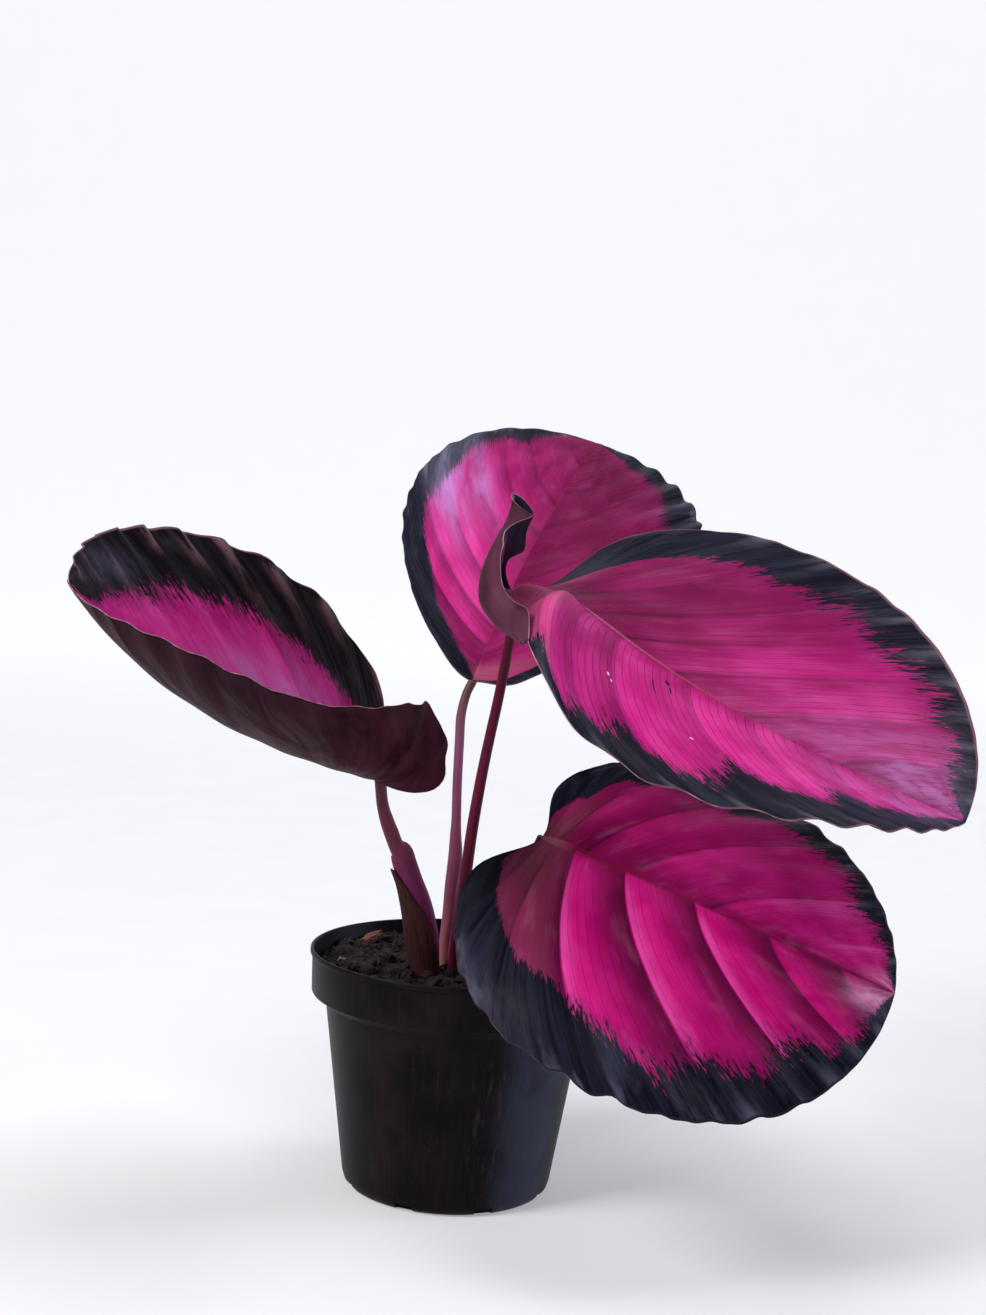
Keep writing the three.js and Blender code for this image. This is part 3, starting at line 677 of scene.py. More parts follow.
# %% Where the dark band starts
band_start = {
    "blade_left": (
        (0.05, 0.1, 0.2, 0.4, 0.6, 0.7, 0.74, 0.7, 0.2),
        (
            0.05, 0.08, 0.1, 0.14, 0.18, 0.26, 0.34, 0.44, 0.49, 0.58, 0.65, 0.67, 0.7, 0.69, 0.67, 0.56, 0.1,
        ),
    ),
    "blade_top": (
        (
            0.02, 0.02, 0.03, 0.05, 0.08, 0.12, 0.2, 0.36, 0.46, 0.7, 0.78, 0.8, 0.88, 0.88, 0.86, 0.92, 0.97,
        ),
        (0.3, 0.45, 0.7, 0.78, 0.78, 0.74, 0.8, 0.86, 0.7),
    ),
    "blade_right": (
        (
            0.05, 0.07, 0.09, 0.1, 0.16, 0.5, 0.7, 0.78, 0.76, 0.84, 0.86, 0.86, 0.88, 0.9, 0.9, 0.84, 0.7,
        ),
        (
            0.3, 0.32, 0.35, 0.38, 0.4, 0.44, 0.48, 0.54, 0.6, 0.66, 0.72, 0.8, 0.84, 0.84, 0.74, 0.88, 0.82,
            0.785, 0.74, 0.7, 0.76, 0.81, 0.77, 0.71, 0.63, 0.72, 0.79, 0.71, 0.64, 0.73, 0.74, 0.7, 0.55,
        ),
    ),
    "blade_front": (
        (
            0.05, 0.42, 0.38, 0.42, 0.38, 0.54, 0.56, 0.64, 0.68, 0.72, 0.86, 0.88, 0.92, 0.9, 0.9, 0.92, 0.8,
        ),
        (
            0.3, 0.6, 0.52, 0.5, 0.52, 0.52, 0.58, 0.62, 0.64, 0.8, 0.84, 0.8, 0.86, 0.78, 0.88, 0.86, 0.75,
        ),
    ),
}


def beyond_band(name, u, share):
    """How far beyond the start of the dark band a corner lies, as a share of its vein"""
    left, right = (smooth_curve(band_start[name][side], u) for side in (LEFT, RIGHT))
    return np.where(share >= 0, share - left, -share - right)


# %% [markdown]
# The crimson carries painted light and shade. Each pleat has a painted tone of its own, from deep
# maroon at 0 to vivid at 1, and most fade from one flank to the other. The creases between pleats
# have painted shade, and so has the skin beside the midrib. Where the skin is smoothest it has
# patches of painted sheen, mostly lilac, and the tops of the waves along the margin have painted
# highlights.

# %% Painted shading of the pleats
pleat_shading = {
    "blade_left": (
        (0.2, 0.3, 0.4, 0.45, 0.4, 0.35, 0.3),
        (0.3, 0.6, 1.0, 1.25, 1.25, 1.05, 0.8),
    ),
    "blade_top": (
        (0.25, 0.35, 0.75, 0.75, 0.8, 0.5, 0.35, 0.2, 0.05),
        (0.25, 0.18, 0.1, 0.02, -0.03, -0.02, -0.03),
    ),
    "blade_right": (
        (0.12, 0.12, 0.2, 0.45, 0.5, 0.42, 0.25, 0.3),
        (0.3, 0.68, 0.6, 0.82, 0.86, 0.78, 0.72, 0.62),
    ),
    "blade_front": (
        (0.3, 0.5, 0.75, 1.0, 1.4, 1.35, 1.1),
        (0.12, 0.16, 1.45, 1.5, 1.5, 1.05, 1.1),
    ),
}
# How much the painted shade fades across a pleat: below 0, from its other flank
pleat_fades = {
    "blade_left": (0.25, 0.25),
    "blade_top": (0.6, 0.2),
    "blade_right": (-0.5, 0.35),
    "blade_front": (0.35, 1.0),
}
# How fast it fades, where not as on the others
fade_powers = {"blade_front": 0.8}
# Painted shade in the creases: how much darker they are on each half
crease_shade = {
    "blade_left": (0.2, 0.2),
    "blade_top": (0.25, 0.15),
    "blade_right": (0.3, 0.2),
    "blade_front": (0.3, 0.1),
}
# Painted shade beside the midrib: how much darker the crimson is, and how far along the veins
rib_shades = {("blade_front", LEFT): (0.7, 0.28), ("blade_right", LEFT): (0.3, 0.25)}
# How close to the margin the painted highlight on the waves keeps, where it isn't as the others
crest_powers = {"blade_left": 5}
# A spot of painted sheen: half, place along the blade and along its veins, reach in each, strength
sheen_spots = {
    "blade_left": [(RIGHT, 0.44, 0.32, 0.18, 0.14, 0.7), (RIGHT, 0.75, 0.85, 0.12, 0.12, 0.3)],
    "blade_top": [(LEFT, 0.44, 0.8, 0.07, 0.35, 1.0), (LEFT, 0.56, 0.65, 0.04, 0.3, 0.7)],
    "blade_right": [
        (LEFT, 0.95, 0.5, 0.22, 0.5, 0.55), (RIGHT, 0.95, 0.5, 0.18, 0.5, 0.5),
        (RIGHT, 0.02, 0.95, 0.05, 0.45, 1.0),
    ],
    "blade_front": [
        (RIGHT, 0.94, 0.62, 0.06, 0.35, 1.1), (LEFT, 0.96, 0.6, 0.04, 0.3, 0.7),
        (RIGHT, 0.06, 0.93, 0.05, 0.1, 0.25),
    ],
}


# %% Painted shade, sheen and highlights at each corner


def painted_pleat_shade(name, leaf, side, vein, v):
    """Painted shade of the crimson on one half: its pleat's own tone, faded across the pleat"""
    f, width = across_pleat(leaf, side, vein)
    k = np.searchsorted(np.array(leaf["pleats"][side][1]), vein, side="right")
    tone = np.array(pleat_shading[name][side])[k]
    fade = pleat_fades[name][side]
    flank = f if fade > 0 else 1 - f
    shade, reach = rib_shades.get((name, side), (0.25, 0.1))
    ribside = 1 - shade * np.exp(-((v / reach) ** 2))
    crease = np.exp(-((np.minimum(f, 1 - f) * width / 0.007) ** 2)) * np.exp(-v / 0.45)
    faded = tone * (1 - abs(fade) * flank ** fade_powers.get(name, 1.3)) * ribside
    return faded - crease_shade[name][side] * crease


def skin_values(name, leaf, share, vein):
    """Painted pleat shade, painted sheen and painted wave highlights at every corner of a blade"""
    v = np.abs(share)
    tone_left, tone_right = (painted_pleat_shade(name, leaf, side, vein, v) for side in (LEFT, RIGHT))
    tone = np.where(share >= 0, tone_left, tone_right)
    bloom = np.zeros_like(v)
    for side, at, out, reach, spread, strength in sheen_spots[name]:
        half = share >= 0 if side == LEFT else share < 0
        spot = np.exp(-(((vein - at) / reach) ** 2) - ((v - out) / spread) ** 2)
        bloom = np.maximum(bloom, np.where(half, strength * spot, 0))
    count, phase, _ = leaf["waves"]
    wave = np.clip(np.sin(2 * np.pi * count * vein + np.radians(phase)), 0, 1)
    return tone, bloom, v ** crest_powers.get(name, 14) * wave**1.5


# %% Blades
# A whole vein's length on the UV map
map_reach = 60
# The sheet thins over the outer share of a vein, to this share of its thickness
thin_share, thinnest = 0.12, 0.4


def corner_values(piece, name, values):
    """Store one number at each corner of a mesh"""
    attribute = piece.data.attributes.new(name, "FLOAT", "POINT")
    attribute.data.foreach_set("value", values.astype(np.float32))


def thicken(piece):
    """Make the sheet a body with an upper face, an under face and an edge, a skin for each"""
    sheet = piece.modifiers.new("sheet", "SOLIDIFY")
    sheet.thickness = thickness / 1000
    sheet.offset = 0
    sheet.use_quality_normals = True
    sheet.vertex_group = "thick"
    sheet.thickness_vertex_group = 0
    sheet.material_offset = 1
    sheet.material_offset_rim = 2
    for _ in ("upper face", "under face", "edge"):
        piece.data.materials.append(None)
    apply_modifiers(piece)
    bpy.ops.object.shade_smooth()


def make_blade(name, leaf):
    """One blade: a placed grid, thickened to a sheet that thins towards its margin"""
    points, u, share, vein = grids[name]
    pattern = np.stack([vein * leaf["length"], share * map_reach], -1)
    piece, (row, column) = grid_piece(name + "_leaf", points, pattern)
    tone, bloom, crest = skin_values(name, leaf, share, vein)
    # The tone, sheen and crest values are painted shade, painted sheen and painted highlights
    skin = {"beyond": beyond_band(name, u, share), "tone": tone, "bloom": bloom, "crest": crest}
    for kind, values in skin.items():
        corner_values(piece, kind, values[row, column])
    thick = piece.vertex_groups.new(name="thick")
    weights = np.clip((1 - np.abs(share)) / thin_share, thinnest, 1)[row, column]
    for corner, weight in enumerate(weights):
        thick.add([corner], weight, "REPLACE")
    merge_doubles(piece)
    thicken(piece)
    settle(piece, name)
    return piece


leaves = {name: make_blade(name, leaf) for name, leaf in blades.items()}

# %% [markdown]
# ## Finish of a blade
# The upper face is vivid crimson with a near-black margin band that runs into it in fine teeth
# along the veins. Fine veins lie side by side, and the margin has a thin pale edge. The midrib is
# paler near the stalk and dark red beyond, and the right blade has a few scratches and specks. The
# pattern follows the veins, so it reads the UV map, where x runs across the veins and y along them.
#
# Each blade has its own look: the tones of its edge, its painted highlights on the waves, its painted
# sheen, its dark band, its crimson and its under face, whose lighter end is partly painted sheen, each
# as two ends where it varies; then the reach and strength of the dull skin near the stalk, the reach
# and strength of the pale midrib, how ragged and how soft the dark band starts, and the strengths of
# its patches of painted sheen, its painted highlights along the margin, its grain, its veins and its
# painted gleams on the dark band.

# %% Looks of the four blades
crimson = ((0.44, 0.009, 0.165), (0.54, 0.026, 0.23))
near_black = ((0.004, 0.003, 0.008), (0.011, 0.012, 0.024))
# The tone of the painted lilac sheen
lilac = (0.38, 0.15, 0.4)
looks = {
    "blade_left": {
        "edge": ((0.11, 0.05, 0.07), (0.34, 0.17, 0.22)), "crest": (0.17, 0.085, 0.105),
        "bloom": lilac, "band": ((0.005, 0.003, 0.005), (0.014, 0.011, 0.015)), "crimson": crimson,
        "under": ((0.022, 0.005, 0.011), (0.036, 0.010, 0.017)), "base": (20, 0.5), "rib": (26, 0.6),
        "ragged": 1.5, "soft": 0.03, "sheen_patches": 0.05, "margin": 0.05, "grain": 0.8, "veins": 0.3,
        "gleams": 0.15,
    },
    "blade_top": {
        "edge": ((0.02, 0.014, 0.022), (0.12, 0.06, 0.08)), "crest": (0.05, 0.055, 0.09),
        "bloom": lilac, "band": near_black, "crimson": crimson,
        "under": ((0.03, 0.006, 0.014), (0.06, 0.018, 0.028)), "base": (16, 0.4), "rib": (26, 0.3),
        "ragged": 0.8, "soft": 0.05, "sheen_patches": 0.05, "margin": 0.2, "grain": 0.4, "veins": 0.25,
        "gleams": 0.4,
    },
    "blade_right": {
        "edge": ((0.13, 0.06, 0.085), (0.42, 0.2, 0.26)), "crest": (0.07, 0.065, 0.08),
        "bloom": lilac, "band": near_black, "crimson": crimson,
        "under": ((0.036, 0.01, 0.019), (0.056, 0.019, 0.032)), "base": (46, 0.4), "rib": (150, 0.8),
        "ragged": 1.15, "soft": 0.018, "sheen_patches": 0.05, "margin": 0.06, "grain": 0.9, "veins": 0.6,
        "gleams": 0.2,
    },
    "blade_front": {
        "edge": ((0.025, 0.016, 0.026), (0.14, 0.07, 0.1)), "crest": (0.08, 0.08, 0.12),
        "bloom": (0.62, 0.26, 0.46), "band": near_black,
        "crimson": ((0.45, 0.003, 0.14), (0.56, 0.011, 0.195)),
        "under": ((0.02, 0.004, 0.01), (0.05, 0.014, 0.022)), "base": (30, 0.3), "rib": (30, 0.6),
        "ragged": 1.1, "soft": 0.02, "sheen_patches": 0.1, "margin": 0.2, "grain": 0.7, "veins": 0.3,
        "gleams": 0.35,
    },
}
# Scratches and specks: place on the UV map, half width, half height, colour
marks = {
    "blade_right": [
        (87.2, -18.5, 0.35, 3, (0.03, 0.006, 0.03)), (93.2, -12, 1.1, 1.3, (0.03, 0.006, 0.03)),
        (94, -15, 0.4, 2, (0.03, 0.006, 0.03)), (69.2, -26.9, 0.5, 0.5, (0.75, 0.5, 0.6)),
        (70.2, -28.3, 0.35, 0.35, (0.75, 0.5, 0.6)), (93.9, -33.1, 0.6, 0.25, (0.75, 0.5, 0.6)),
    ],
}


# %% Upper face


def upper_finish(name, blade, seed):
    look = looks[blade]
    finish = Finish(name, Specular_IOR_Level=0.04)
    uv = finish.pattern()
    x, y, _ = finish.parts(uv)
    beyond, tone, bloom, crest = (
        finish.node("ShaderNodeAttribute", {"attribute_name": value}, output=2)
        for value in ("beyond", "tone", "bloom", "crest")
    )
    share = abs(y) / map_reach
    # The start of the dark band
    teeth = finish.noise(finish.point(x * 0.9, y * 0.13, seed), 1, 5, 0.7)
    flecks = finish.noise(finish.point(x * 1.9, y * 0.45, seed + 6), 1, 3, 0.6)
    lobes = finish.noise(finish.point(x * 0.12, y * 0.06, seed + 4), 1, 2)
    ragging = ((teeth - 0.5) * 0.26 + (flecks - 0.5) * 0.24) * (0.4 + x.rise(8, 40) * 0.6)
    edge = beyond + ragging * look["ragged"] + (lobes - 0.5) * 0.18
    dark = edge.rise(-look["soft"], look["soft"])
    # The crimson
    streak = finish.noise(finish.point(x * 0.7, y * 0.03, seed + 9), 1, 4, 0.6)
    fine = finish.noise(finish.point(x * 2.8, y * 0.04, seed + 12), 1, 3, 0.6)
    cloud = finish.noise(finish.point(x * 0.07, y * 0.07, seed + 2), 1, 3)
    vivid = cloud.rise(0.35, 0.65).blend(*look["crimson"])
    grain = ((streak - 0.5) * 0.3 + (fine - 0.5) * 0.4) * look["grain"]
    # The tone is the painted light and shade of the pleats, their creases and the midrib's side
    level = tone + (cloud - 0.5) * 0.35 + grain
    pink = level.rise(-0.25, 1.1).blend((0.07, 0.002, 0.022), vivid)
    # A painted highlight on the brightest pleats
    pink = (level.rise(1.0, 1.5) * 0.8).blend(pink, (0.7, 0.07, 0.36))
    line = finish.math("FRACT", x / 3 + (cloud * 0.8))
    vein = abs(line - 0.5).rise(0.09, 0.02) * cloud.rise(0.25, 0.5)
    pink = (vein * look["veins"]).blend(pink, (0.1, 0.002, 0.04))
    near = edge.rise(-0.14, 0.0)
    pink = (near * 0.5).blend(pink, (0.16, 0.003, 0.07))
    # The midrib and the dull skin near the stalk
    rib_reach, rib_strength = look["rib"]
    rib_width = x.rise(150, 0) * 0.018 + 0.012
    rib = (share - rib_width * 0.5).rise(0.01, 0)
    rib_tone = x.rise(rib_reach, 8).blend((0.16, 0.006, 0.03), (0.42, 0.13, 0.17))
    pink = (rib * rib_strength).blend(pink, rib_tone)
    root = x.rise(26, 8) * share.rise(0.5, 0.0)
    pink = (root * 0.45).blend(pink, (0.2, 0.05, 0.07))
    reach, strength = look["base"]
    near_half = (y * -1).rise(0, 1) * x.rise(reach, reach - 6)
    pink = (near_half * strength).blend(pink, (0.24, 0.05, 0.09))
    sheen = finish.noise(finish.point(x * 0.16, y * 0.07, seed + 15), 1, 4, 0.55)
    # Patches of painted sheen on the crimson
    pink = (sheen.rise(0.52, 0.75) * look["sheen_patches"]).blend(pink, (0.6, 0.22, 0.42))
    # The dark band, with painted gleams and painted highlights on it
    night = streak.rise(0.35, 0.7).blend(*look["band"])
    night = (cloud.rise(0.55, 0.75) * 0.5).blend(night, (0.022, 0.026, 0.026))
    # Painted gleams on the dark band, where the pleats' painted tone is bright
    gleam = tone.rise(0.4, 1.0) * lobes.rise(0.42, 0.62) * sheen.rise(0.4, 0.65)
    night = (gleam * look["gleams"]).blend(night, (0.045, 0.052, 0.09))
    # Painted highlights on the tops of the waves
    night = (crest * sheen.rise(0.42, 0.58)).blend(night, look["crest"])
    # Painted highlights along the margin
    flare = sheen.rise(0.56, 0.7) * share.rise(0.84, 0.96)
    night = (flare * look["margin"]).blend(night, (0.3, 0.26, 0.36))
    # Both together, with the painted sheen, the marks and the pale edge on top
    colour = dark.blend(pink, night)
    # The painted sheen's tone: its own on the crimson, grey-blue over the dark band
    sheen_tone = dark.blend(look["bloom"], (0.11, 0.1, 0.16))
    hazy = 0.25 + sheen.rise(0.35, 0.6) * 0.6 + fine * 0.3
    colour = (bloom * hazy).blend(colour, sheen_tone)
    for mark_x, mark_y, wide, high, mark_tone in marks.get(blade, []):
        away = ((x - mark_x) / wide) ** 2 + ((y - mark_y) / high) ** 2
        colour = (away + (flecks - 0.5) * 1.5).rise(1.1, 0.6).blend(colour, mark_tone)
    rim = share.rise(0.988, 0.996)
    colour = rim.blend(colour, look["edge"][0])
    rough = 0.4 + (streak - 0.5) * 0.25 - bloom * 0.08
    height = streak * 0.5 + fine * 0.3 - vein * 0.5 + finish.noise(uv, 1.6, 3) * 0.2
    return finish.wear(colour, rough, height, 0.4, 0.0004)


# %% [markdown]
# The under face is maroon, partly lit by patches of painted sheen, with finer veins, soft folds that
# have painted highlights and a redder base. The sheet's edge has a thin tone of its own.

# %% Under face and edge


def lighter(tone, gains):
    return tuple(part * gain for part, gain in zip(tone, gains))


def under_finish(name, blade, seed):
    dull, lit = looks[blade]["under"]
    finish = Finish(name, Specular_IOR_Level=0.02)
    x, y, _ = finish.parts(finish.pattern())
    streak = finish.noise(finish.point(x * 0.5, y * 0.03, seed), 1, 4, 0.6)
    patch = finish.noise(finish.point(x * 0.12, y * 0.05, seed + 3), 1, 2)
    # Maroon in streaks and patches, partly its own tone and partly painted sheen
    maroon = (streak * 0.5 + patch * 0.5).rise(0.35, 0.65).blend(dull, lit)
    line = finish.math("FRACT", x / 1.35)
    vein = abs(line - 0.5).rise(0.14, 0.0)
    maroon = (vein * 0.1).blend(maroon, (0.012, 0.002, 0.006))
    folds = finish.noise(finish.point(x * 0.09, y * 0.035, seed + 6), 1, 2, 0.4, 0.6)
    wine = x.rise(70, 5) * patch.rise(0.35, 0.6) * 0.45
    maroon = wine.blend(maroon, lighter(lit, (2.1, 1.5, 2)))
    # Painted highlights on the soft folds
    maroon = (folds.rise(0.5, 0.68) * 0.5).blend(maroon, lighter(lit, (1.7, 1.7, 1.7)))
    rough = 0.5 + (streak - 0.5) * 0.2
    return finish.wear(maroon, rough, folds * 14 + streak * 0.12 + vein * 0.04, 0.5, 0.0004)


def edge_finish(name, blade):
    finish = Finish(name, Roughness=0.5, Specular_IOR_Level=0.3)
    streak = finish.noise(finish.pattern(), 0.35, 3)
    return finish.wear(streak.rise(0.4, 0.7).blend(*looks[blade]["edge"]))


for number, (name, leaf) in enumerate(leaves.items()):
    seed = number * 7.3
    faces = leaf.data.materials
    faces[0] = upper_finish(name + "_upper_skin", name, seed)
    faces[1] = under_finish(name + "_under_skin", name, seed + 20)
    faces[2] = edge_finish(name + "_edge_skin", name)
    print(name, "skins", [skin.name for skin in faces])

# %% [markdown]
# ## Stalks
# A stalk is a slim tube that swells where it sheathes its neighbour. It could be a curve with a
# bevel, but its width and depth differ, so rings are placed along a smooth line, and the grid that
# they make is closed by merging its doubles. Each section is a centre, half the width across the
# front view and half the depth. The foot stands in the soil, and the top runs into the blade's base.

# %% Sections of the stalks
stalks = {
    "stalk_left": [
        (-9, -9, 54, 3, 2.8), (-10.2, -12.4, 74.5, 3.8, 3.2), (-10.9, -13.4, 81, 4.5, 3.4),
        (-12.3, -15, 90.5, 5.4, 3.5), (-13.9, -16.5, 99, 5.2, 3.4), (-15.6, -17.6, 105.5, 4.8, 3.2),
        (-18, -18.7, 112.5, 4.2, 3), (-20.3, -19.8, 118.5, 4.2, 2.8), (-21.6, -20.5, 122.5, 3.9, 2.6),
        (-23.6, -20.9, 125, 2.7, 2.4), (-25.5, -21.7, 129.5, 2.6, 2.2), (-27.1, -22.4, 133.5, 2.4, 2),
        (-28.9, -23.4, 139.5, 2.05, 1.9), (-30, -25, 148, 2, 1.9),
    ],
    "stalk_top": [
        (-5, 3, 50, 1.8, 1.7), (-5.5, 2, 70, 2, 1.8), (-5, 1.2, 86, 2.1, 1.8), (-4.2, 0.8, 97, 2.3, 1.8),
        (-3.8, 0.8, 107.5, 2.4, 1.8), (-3.1, 1.5, 117.5, 2.5, 1.8), (-3.4, 2.8, 126, 2, 1.8),
        (-3.5, 3.8, 131, 1.75, 1.7), (-3.9, 6.6, 143.5, 1.7, 1.7), (-4, 9.8, 158, 1.7, 1.7),
        (-4, 11.8, 167, 1.7, 1.7), (-2.6, 13.4, 174.5, 1.6, 1.6), (-0.5, 14.5, 179.5, 1.6, 1.6),
    ],
    "stalk_right": [
        (-2.2, 0, 51.5, 2, 2), (-1.6, -1.2, 72, 2.15, 2.1), (-0.6, -2.4, 92, 2.15, 2.1),
        (0.9, -3.5, 110.5, 2.1, 2.1), (2.3, -4.5, 128.5, 2.05, 2), (4.4, -5.6, 147, 1.95, 1.9),
        (6.4, -6.5, 161, 1.85, 1.85), (8.7, -7.4, 175.5, 1.8, 1.8), (10.4, -8.1, 188, 1.75, 1.75),
        (11.8, -8.8, 199.5, 1.65, 1.65), (13.8, -9.3, 209, 1.6, 1.6), (16, -9.5, 214, 1.6, 1.6),
    ],
    "stalk_front": [
        (2.4, -5, 53, 2, 2), (4.1, -12, 75, 2.05, 2), (7.5, -17.5, 89, 2.05, 2), (12, -21.9, 101, 1.9, 1.9),
        (17.1, -26.1, 112.5, 1.8, 1.8), (22.5, -30, 123.5, 1.7, 1.7), (26, -33, 132.5, 1.7, 1.7),
    ],
}

# %% Stalk skins


def stalk_rings(sections, t, angle, clearance=0.0):
    """Points of a stalk's skin at shares t and angles in degrees: 0 is right and 90 is back"""
    sections = np.array(sections, float)
    ahead, behind = np.minimum(t + 1e-4, 1), np.maximum(t - 1e-4, 0)
    along = smooth_curve(sections[:, :3], ahead) - smooth_curve(sections[:, :3], behind)
    along /= np.linalg.norm(along, axis=-1, keepdims=True)
    sideways = np.cross([0, 1, 0], along)
    sideways /= np.linalg.norm(sideways, axis=-1, keepdims=True)
    deep = np.cross(along, sideways)
    widths = smooth_curve(sections[:, 3:], t) + clearance
    turn = np.radians(angle)
    right = sideways * (widths[..., 0] * np.cos(turn))[..., None]
    back = deep * (widths[..., 1] * np.sin(turn))[..., None]
    return smooth_curve(sections[:, :3], t) + right + back


def make_stalk(name, sections):
    """One stalk: rings of corners along its line, closed at both ends"""
    rings, sides = 90, 28
    t, angle = np.meshgrid(np.linspace(0, 1, rings + 1), np.linspace(0, 360, sides + 1), indexing="ij")
    points = stalk_rings(sections, t, angle)
    points[:, -1] = points[:, 0]
    foot, top = points[:1].mean(1, keepdims=True), points[-1:].mean(1, keepdims=True)
    middles = [np.repeat(middle, sides + 1, axis=1) for middle in (foot, top)]
    points = np.concatenate([middles[0], points, middles[1]])
    high = points[..., 2].mean(1, keepdims=True) + 0 * points[..., 2]
    turns = np.vstack([angle[:1], angle, angle[:1]])
    pattern = np.stack([turns / 360 * 12, high], -1)
    piece, _ = grid_piece(name + "_skin", points, pattern)
    merge_doubles(piece)
    face_outward(piece)
    bpy.ops.object.shade_smooth()
    settle(piece, name)
    return piece


stems = {name: make_stalk(name, sections) for name, sections in stalks.items()}

# %% [markdown]
# A stalk is glossy and wine red, and its tone changes on the way up. Each stop is a share of the
# height and a colour. Fine fibres run along it.

# %% Stalk finishes
stalk_tones = {
    "stalk_left": [
        (0.0, (0.05, 0.008, 0.012)), (0.2, (0.1, 0.01, 0.035)), (0.4, (0.15, 0.012, 0.075)),
        (0.6, (0.17, 0.019, 0.092)), (0.74, (0.16, 0.032, 0.066)), (1.0, (0.11, 0.034, 0.04)),
    ],
    "stalk_top": [
        (0.0, (0.2, 0.05, 0.06)), (0.2, (0.36, 0.13, 0.14)), (0.42, (0.26, 0.06, 0.12)),
        (0.8, (0.22, 0.06, 0.14)), (0.9, (0.15, 0.055, 0.075)), (0.97, (0.09, 0.042, 0.035)),
        (1.0, (0.08, 0.045, 0.03)),
    ],
    "stalk_right": [
        (0.0, (0.09, 0.006, 0.018)), (0.35, (0.13, 0.008, 0.03)), (0.6, (0.09, 0.006, 0.024)),
        (1.0, (0.06, 0.006, 0.014)),
    ],
    "stalk_front": [
        (0.0, (0.1, 0.008, 0.02)), (0.5, (0.13, 0.01, 0.03)), (1.0, (0.1, 0.008, 0.02)),
    ],
}


def stalk_finish(name, tones, low, high):
    finish = Finish(name, Specular_IOR_Level=0.1)
    x, y, _ = finish.parts(finish.pattern())
    fibre = finish.noise(finish.point(x * 2.2, y * 0.05, low), 1, 4, 0.6)
    freckle = finish.noise(finish.point(x, y, low), 1.4, 2)
    climb = (y - low) / (high - low) + (fibre - 0.5) * 0.08
    tone = finish.node("ShaderNodeValToRGB", {"stops": tones}, {0: climb})
    shade = (fibre * 0.7 + freckle * 0.3).rise(0.35, 0.7)
    colour = (shade * 0.35).blend(tone, (0.03, 0.006, 0.012))
    return finish.wear(colour, 0.36 + fibre * 0.15, fibre, 0.3, 0.0003)


for name, piece in stems.items():
    low, high = stalks[name][0][2], stalks[name][-1][2]
    paint(piece, stalk_finish(name + "_colour", stalk_tones[name], low, high))

# %% [markdown]
# ## The bract
# A dry brown sheath clasps the foot of the left stalk. It is a sheet wrapped round the stalk's own
# skin, wide at its foot and running out to a point on the left.

# %% Bract
foot_span, tip_span = 280, 40
middle_angle = 195
clearance, bract_thickness = 0.8, 0.7
share, place = np.meshgrid(np.linspace(0, 1, 61), np.linspace(-0.5, 0.5, 49), indexing="ij")
span = foot_span + (tip_span - foot_span) * share**1.5
height = 0.1 + 0.43 * share
wrapped = stalk_rings(stalks["stalk_left"], height, middle_angle + span * place, clearance)
bract, _ = grid_piece("bract_sheet", wrapped, np.stack([span * place / 12, share * 60], -1))
bract_sheet = bract.modifiers.new("sheet", "SOLIDIFY")
bract_sheet.thickness = bract_thickness / 1000
bract_sheet.offset = 0
apply_modifiers(bract)
bpy.ops.object.shade_smooth()
settle(bract, "bract_left")

# %% Bract finish
papery = Finish("bract_paper", Specular_IOR_Level=0.1)
bract_x, bract_y, _ = papery.parts(papery.pattern())
strand = papery.noise(papery.point(bract_x * 1.5, bract_y * 0.06), 1, 4, 0.65)
blotch = papery.noise(papery.where(), 0.18, 3)
brown = strand.rise(0.3, 0.7).blend((0.022, 0.008, 0.009), (0.055, 0.02, 0.017))
brown = (blotch.rise(0.4, 0.65) * 0.7).blend(brown, (0.055, 0.008, 0.018))
paint(bract, papery.wear(brown, 0.6 + strand * 0.2, strand, 0.6, 0.0005))

# %% [markdown]
# ## The pot
# A thin moulded pot: a tapering body with a ring of holes in its floor, a shoulder, an upright
# collar and a small rolled lip. It could be a spun profile, but a circle that is extruded and
# scaled from ring to ring needs no seam to be closed.

# %% Profile of the pot
pot_profile = [
    (33.1, 0.0), (35.2, 0.5), (36.6, 2.0), (37.3, 4.2), (46.2, 65.0), (46.5, 65.6), (51.1, 68.5),
    (51.4, 69.0), (51.8, 81.8), (52.3, 82.0), (52.5, 82.4), (52.5, 83.5), (52.4, 83.8), (52.1, 84.0),
    (51.7, 84.0), (51.4, 83.8), (51.2, 83.2), (50.3, 69.6), (50.0, 69.2), (45.4, 66.2), (45.1, 65.6),
    (36.2, 4.8), (34.9, 2.2), (33.6, 1.6),
]


def turned_piece(name, profile, sides):
    """A body of revolution: a circle extruded and scaled through each (radius, height)"""
    select_none()
    radius, height = profile[0]
    bpy.ops.mesh.primitive_circle_add(
        vertices=sides, radius=radius / 1000, fill_type="NGON", location=(0, 0, height / 1000)
    )
    piece = bpy.context.object
    piece.name = piece.data.name = name
    bpy.ops.object.transform_apply(location=True, rotation=True, scale=True)
    edit_where(piece, lambda edge: True, "EDGE")
    for (r0, z0), (r1, z1) in zip(profile, profile[1:]):
        rise = {"value": (0, 0, (z1 - z0) / 1000)}
        bpy.ops.mesh.extrude_edges_move(TRANSFORM_OT_translate=rise)
        bpy.ops.transform.resize(value=(r1 / r0, r1 / r0, 1), center_override=(0, 0, z1 / 1000))
    bpy.ops.mesh.edge_face_add()
    face_outward(piece)
    return piece


pot = turned_piece("pot_shell", pot_profile, 192)
print("pot corners", len(pot.data.vertices))

# %% Drain holes and foot notches


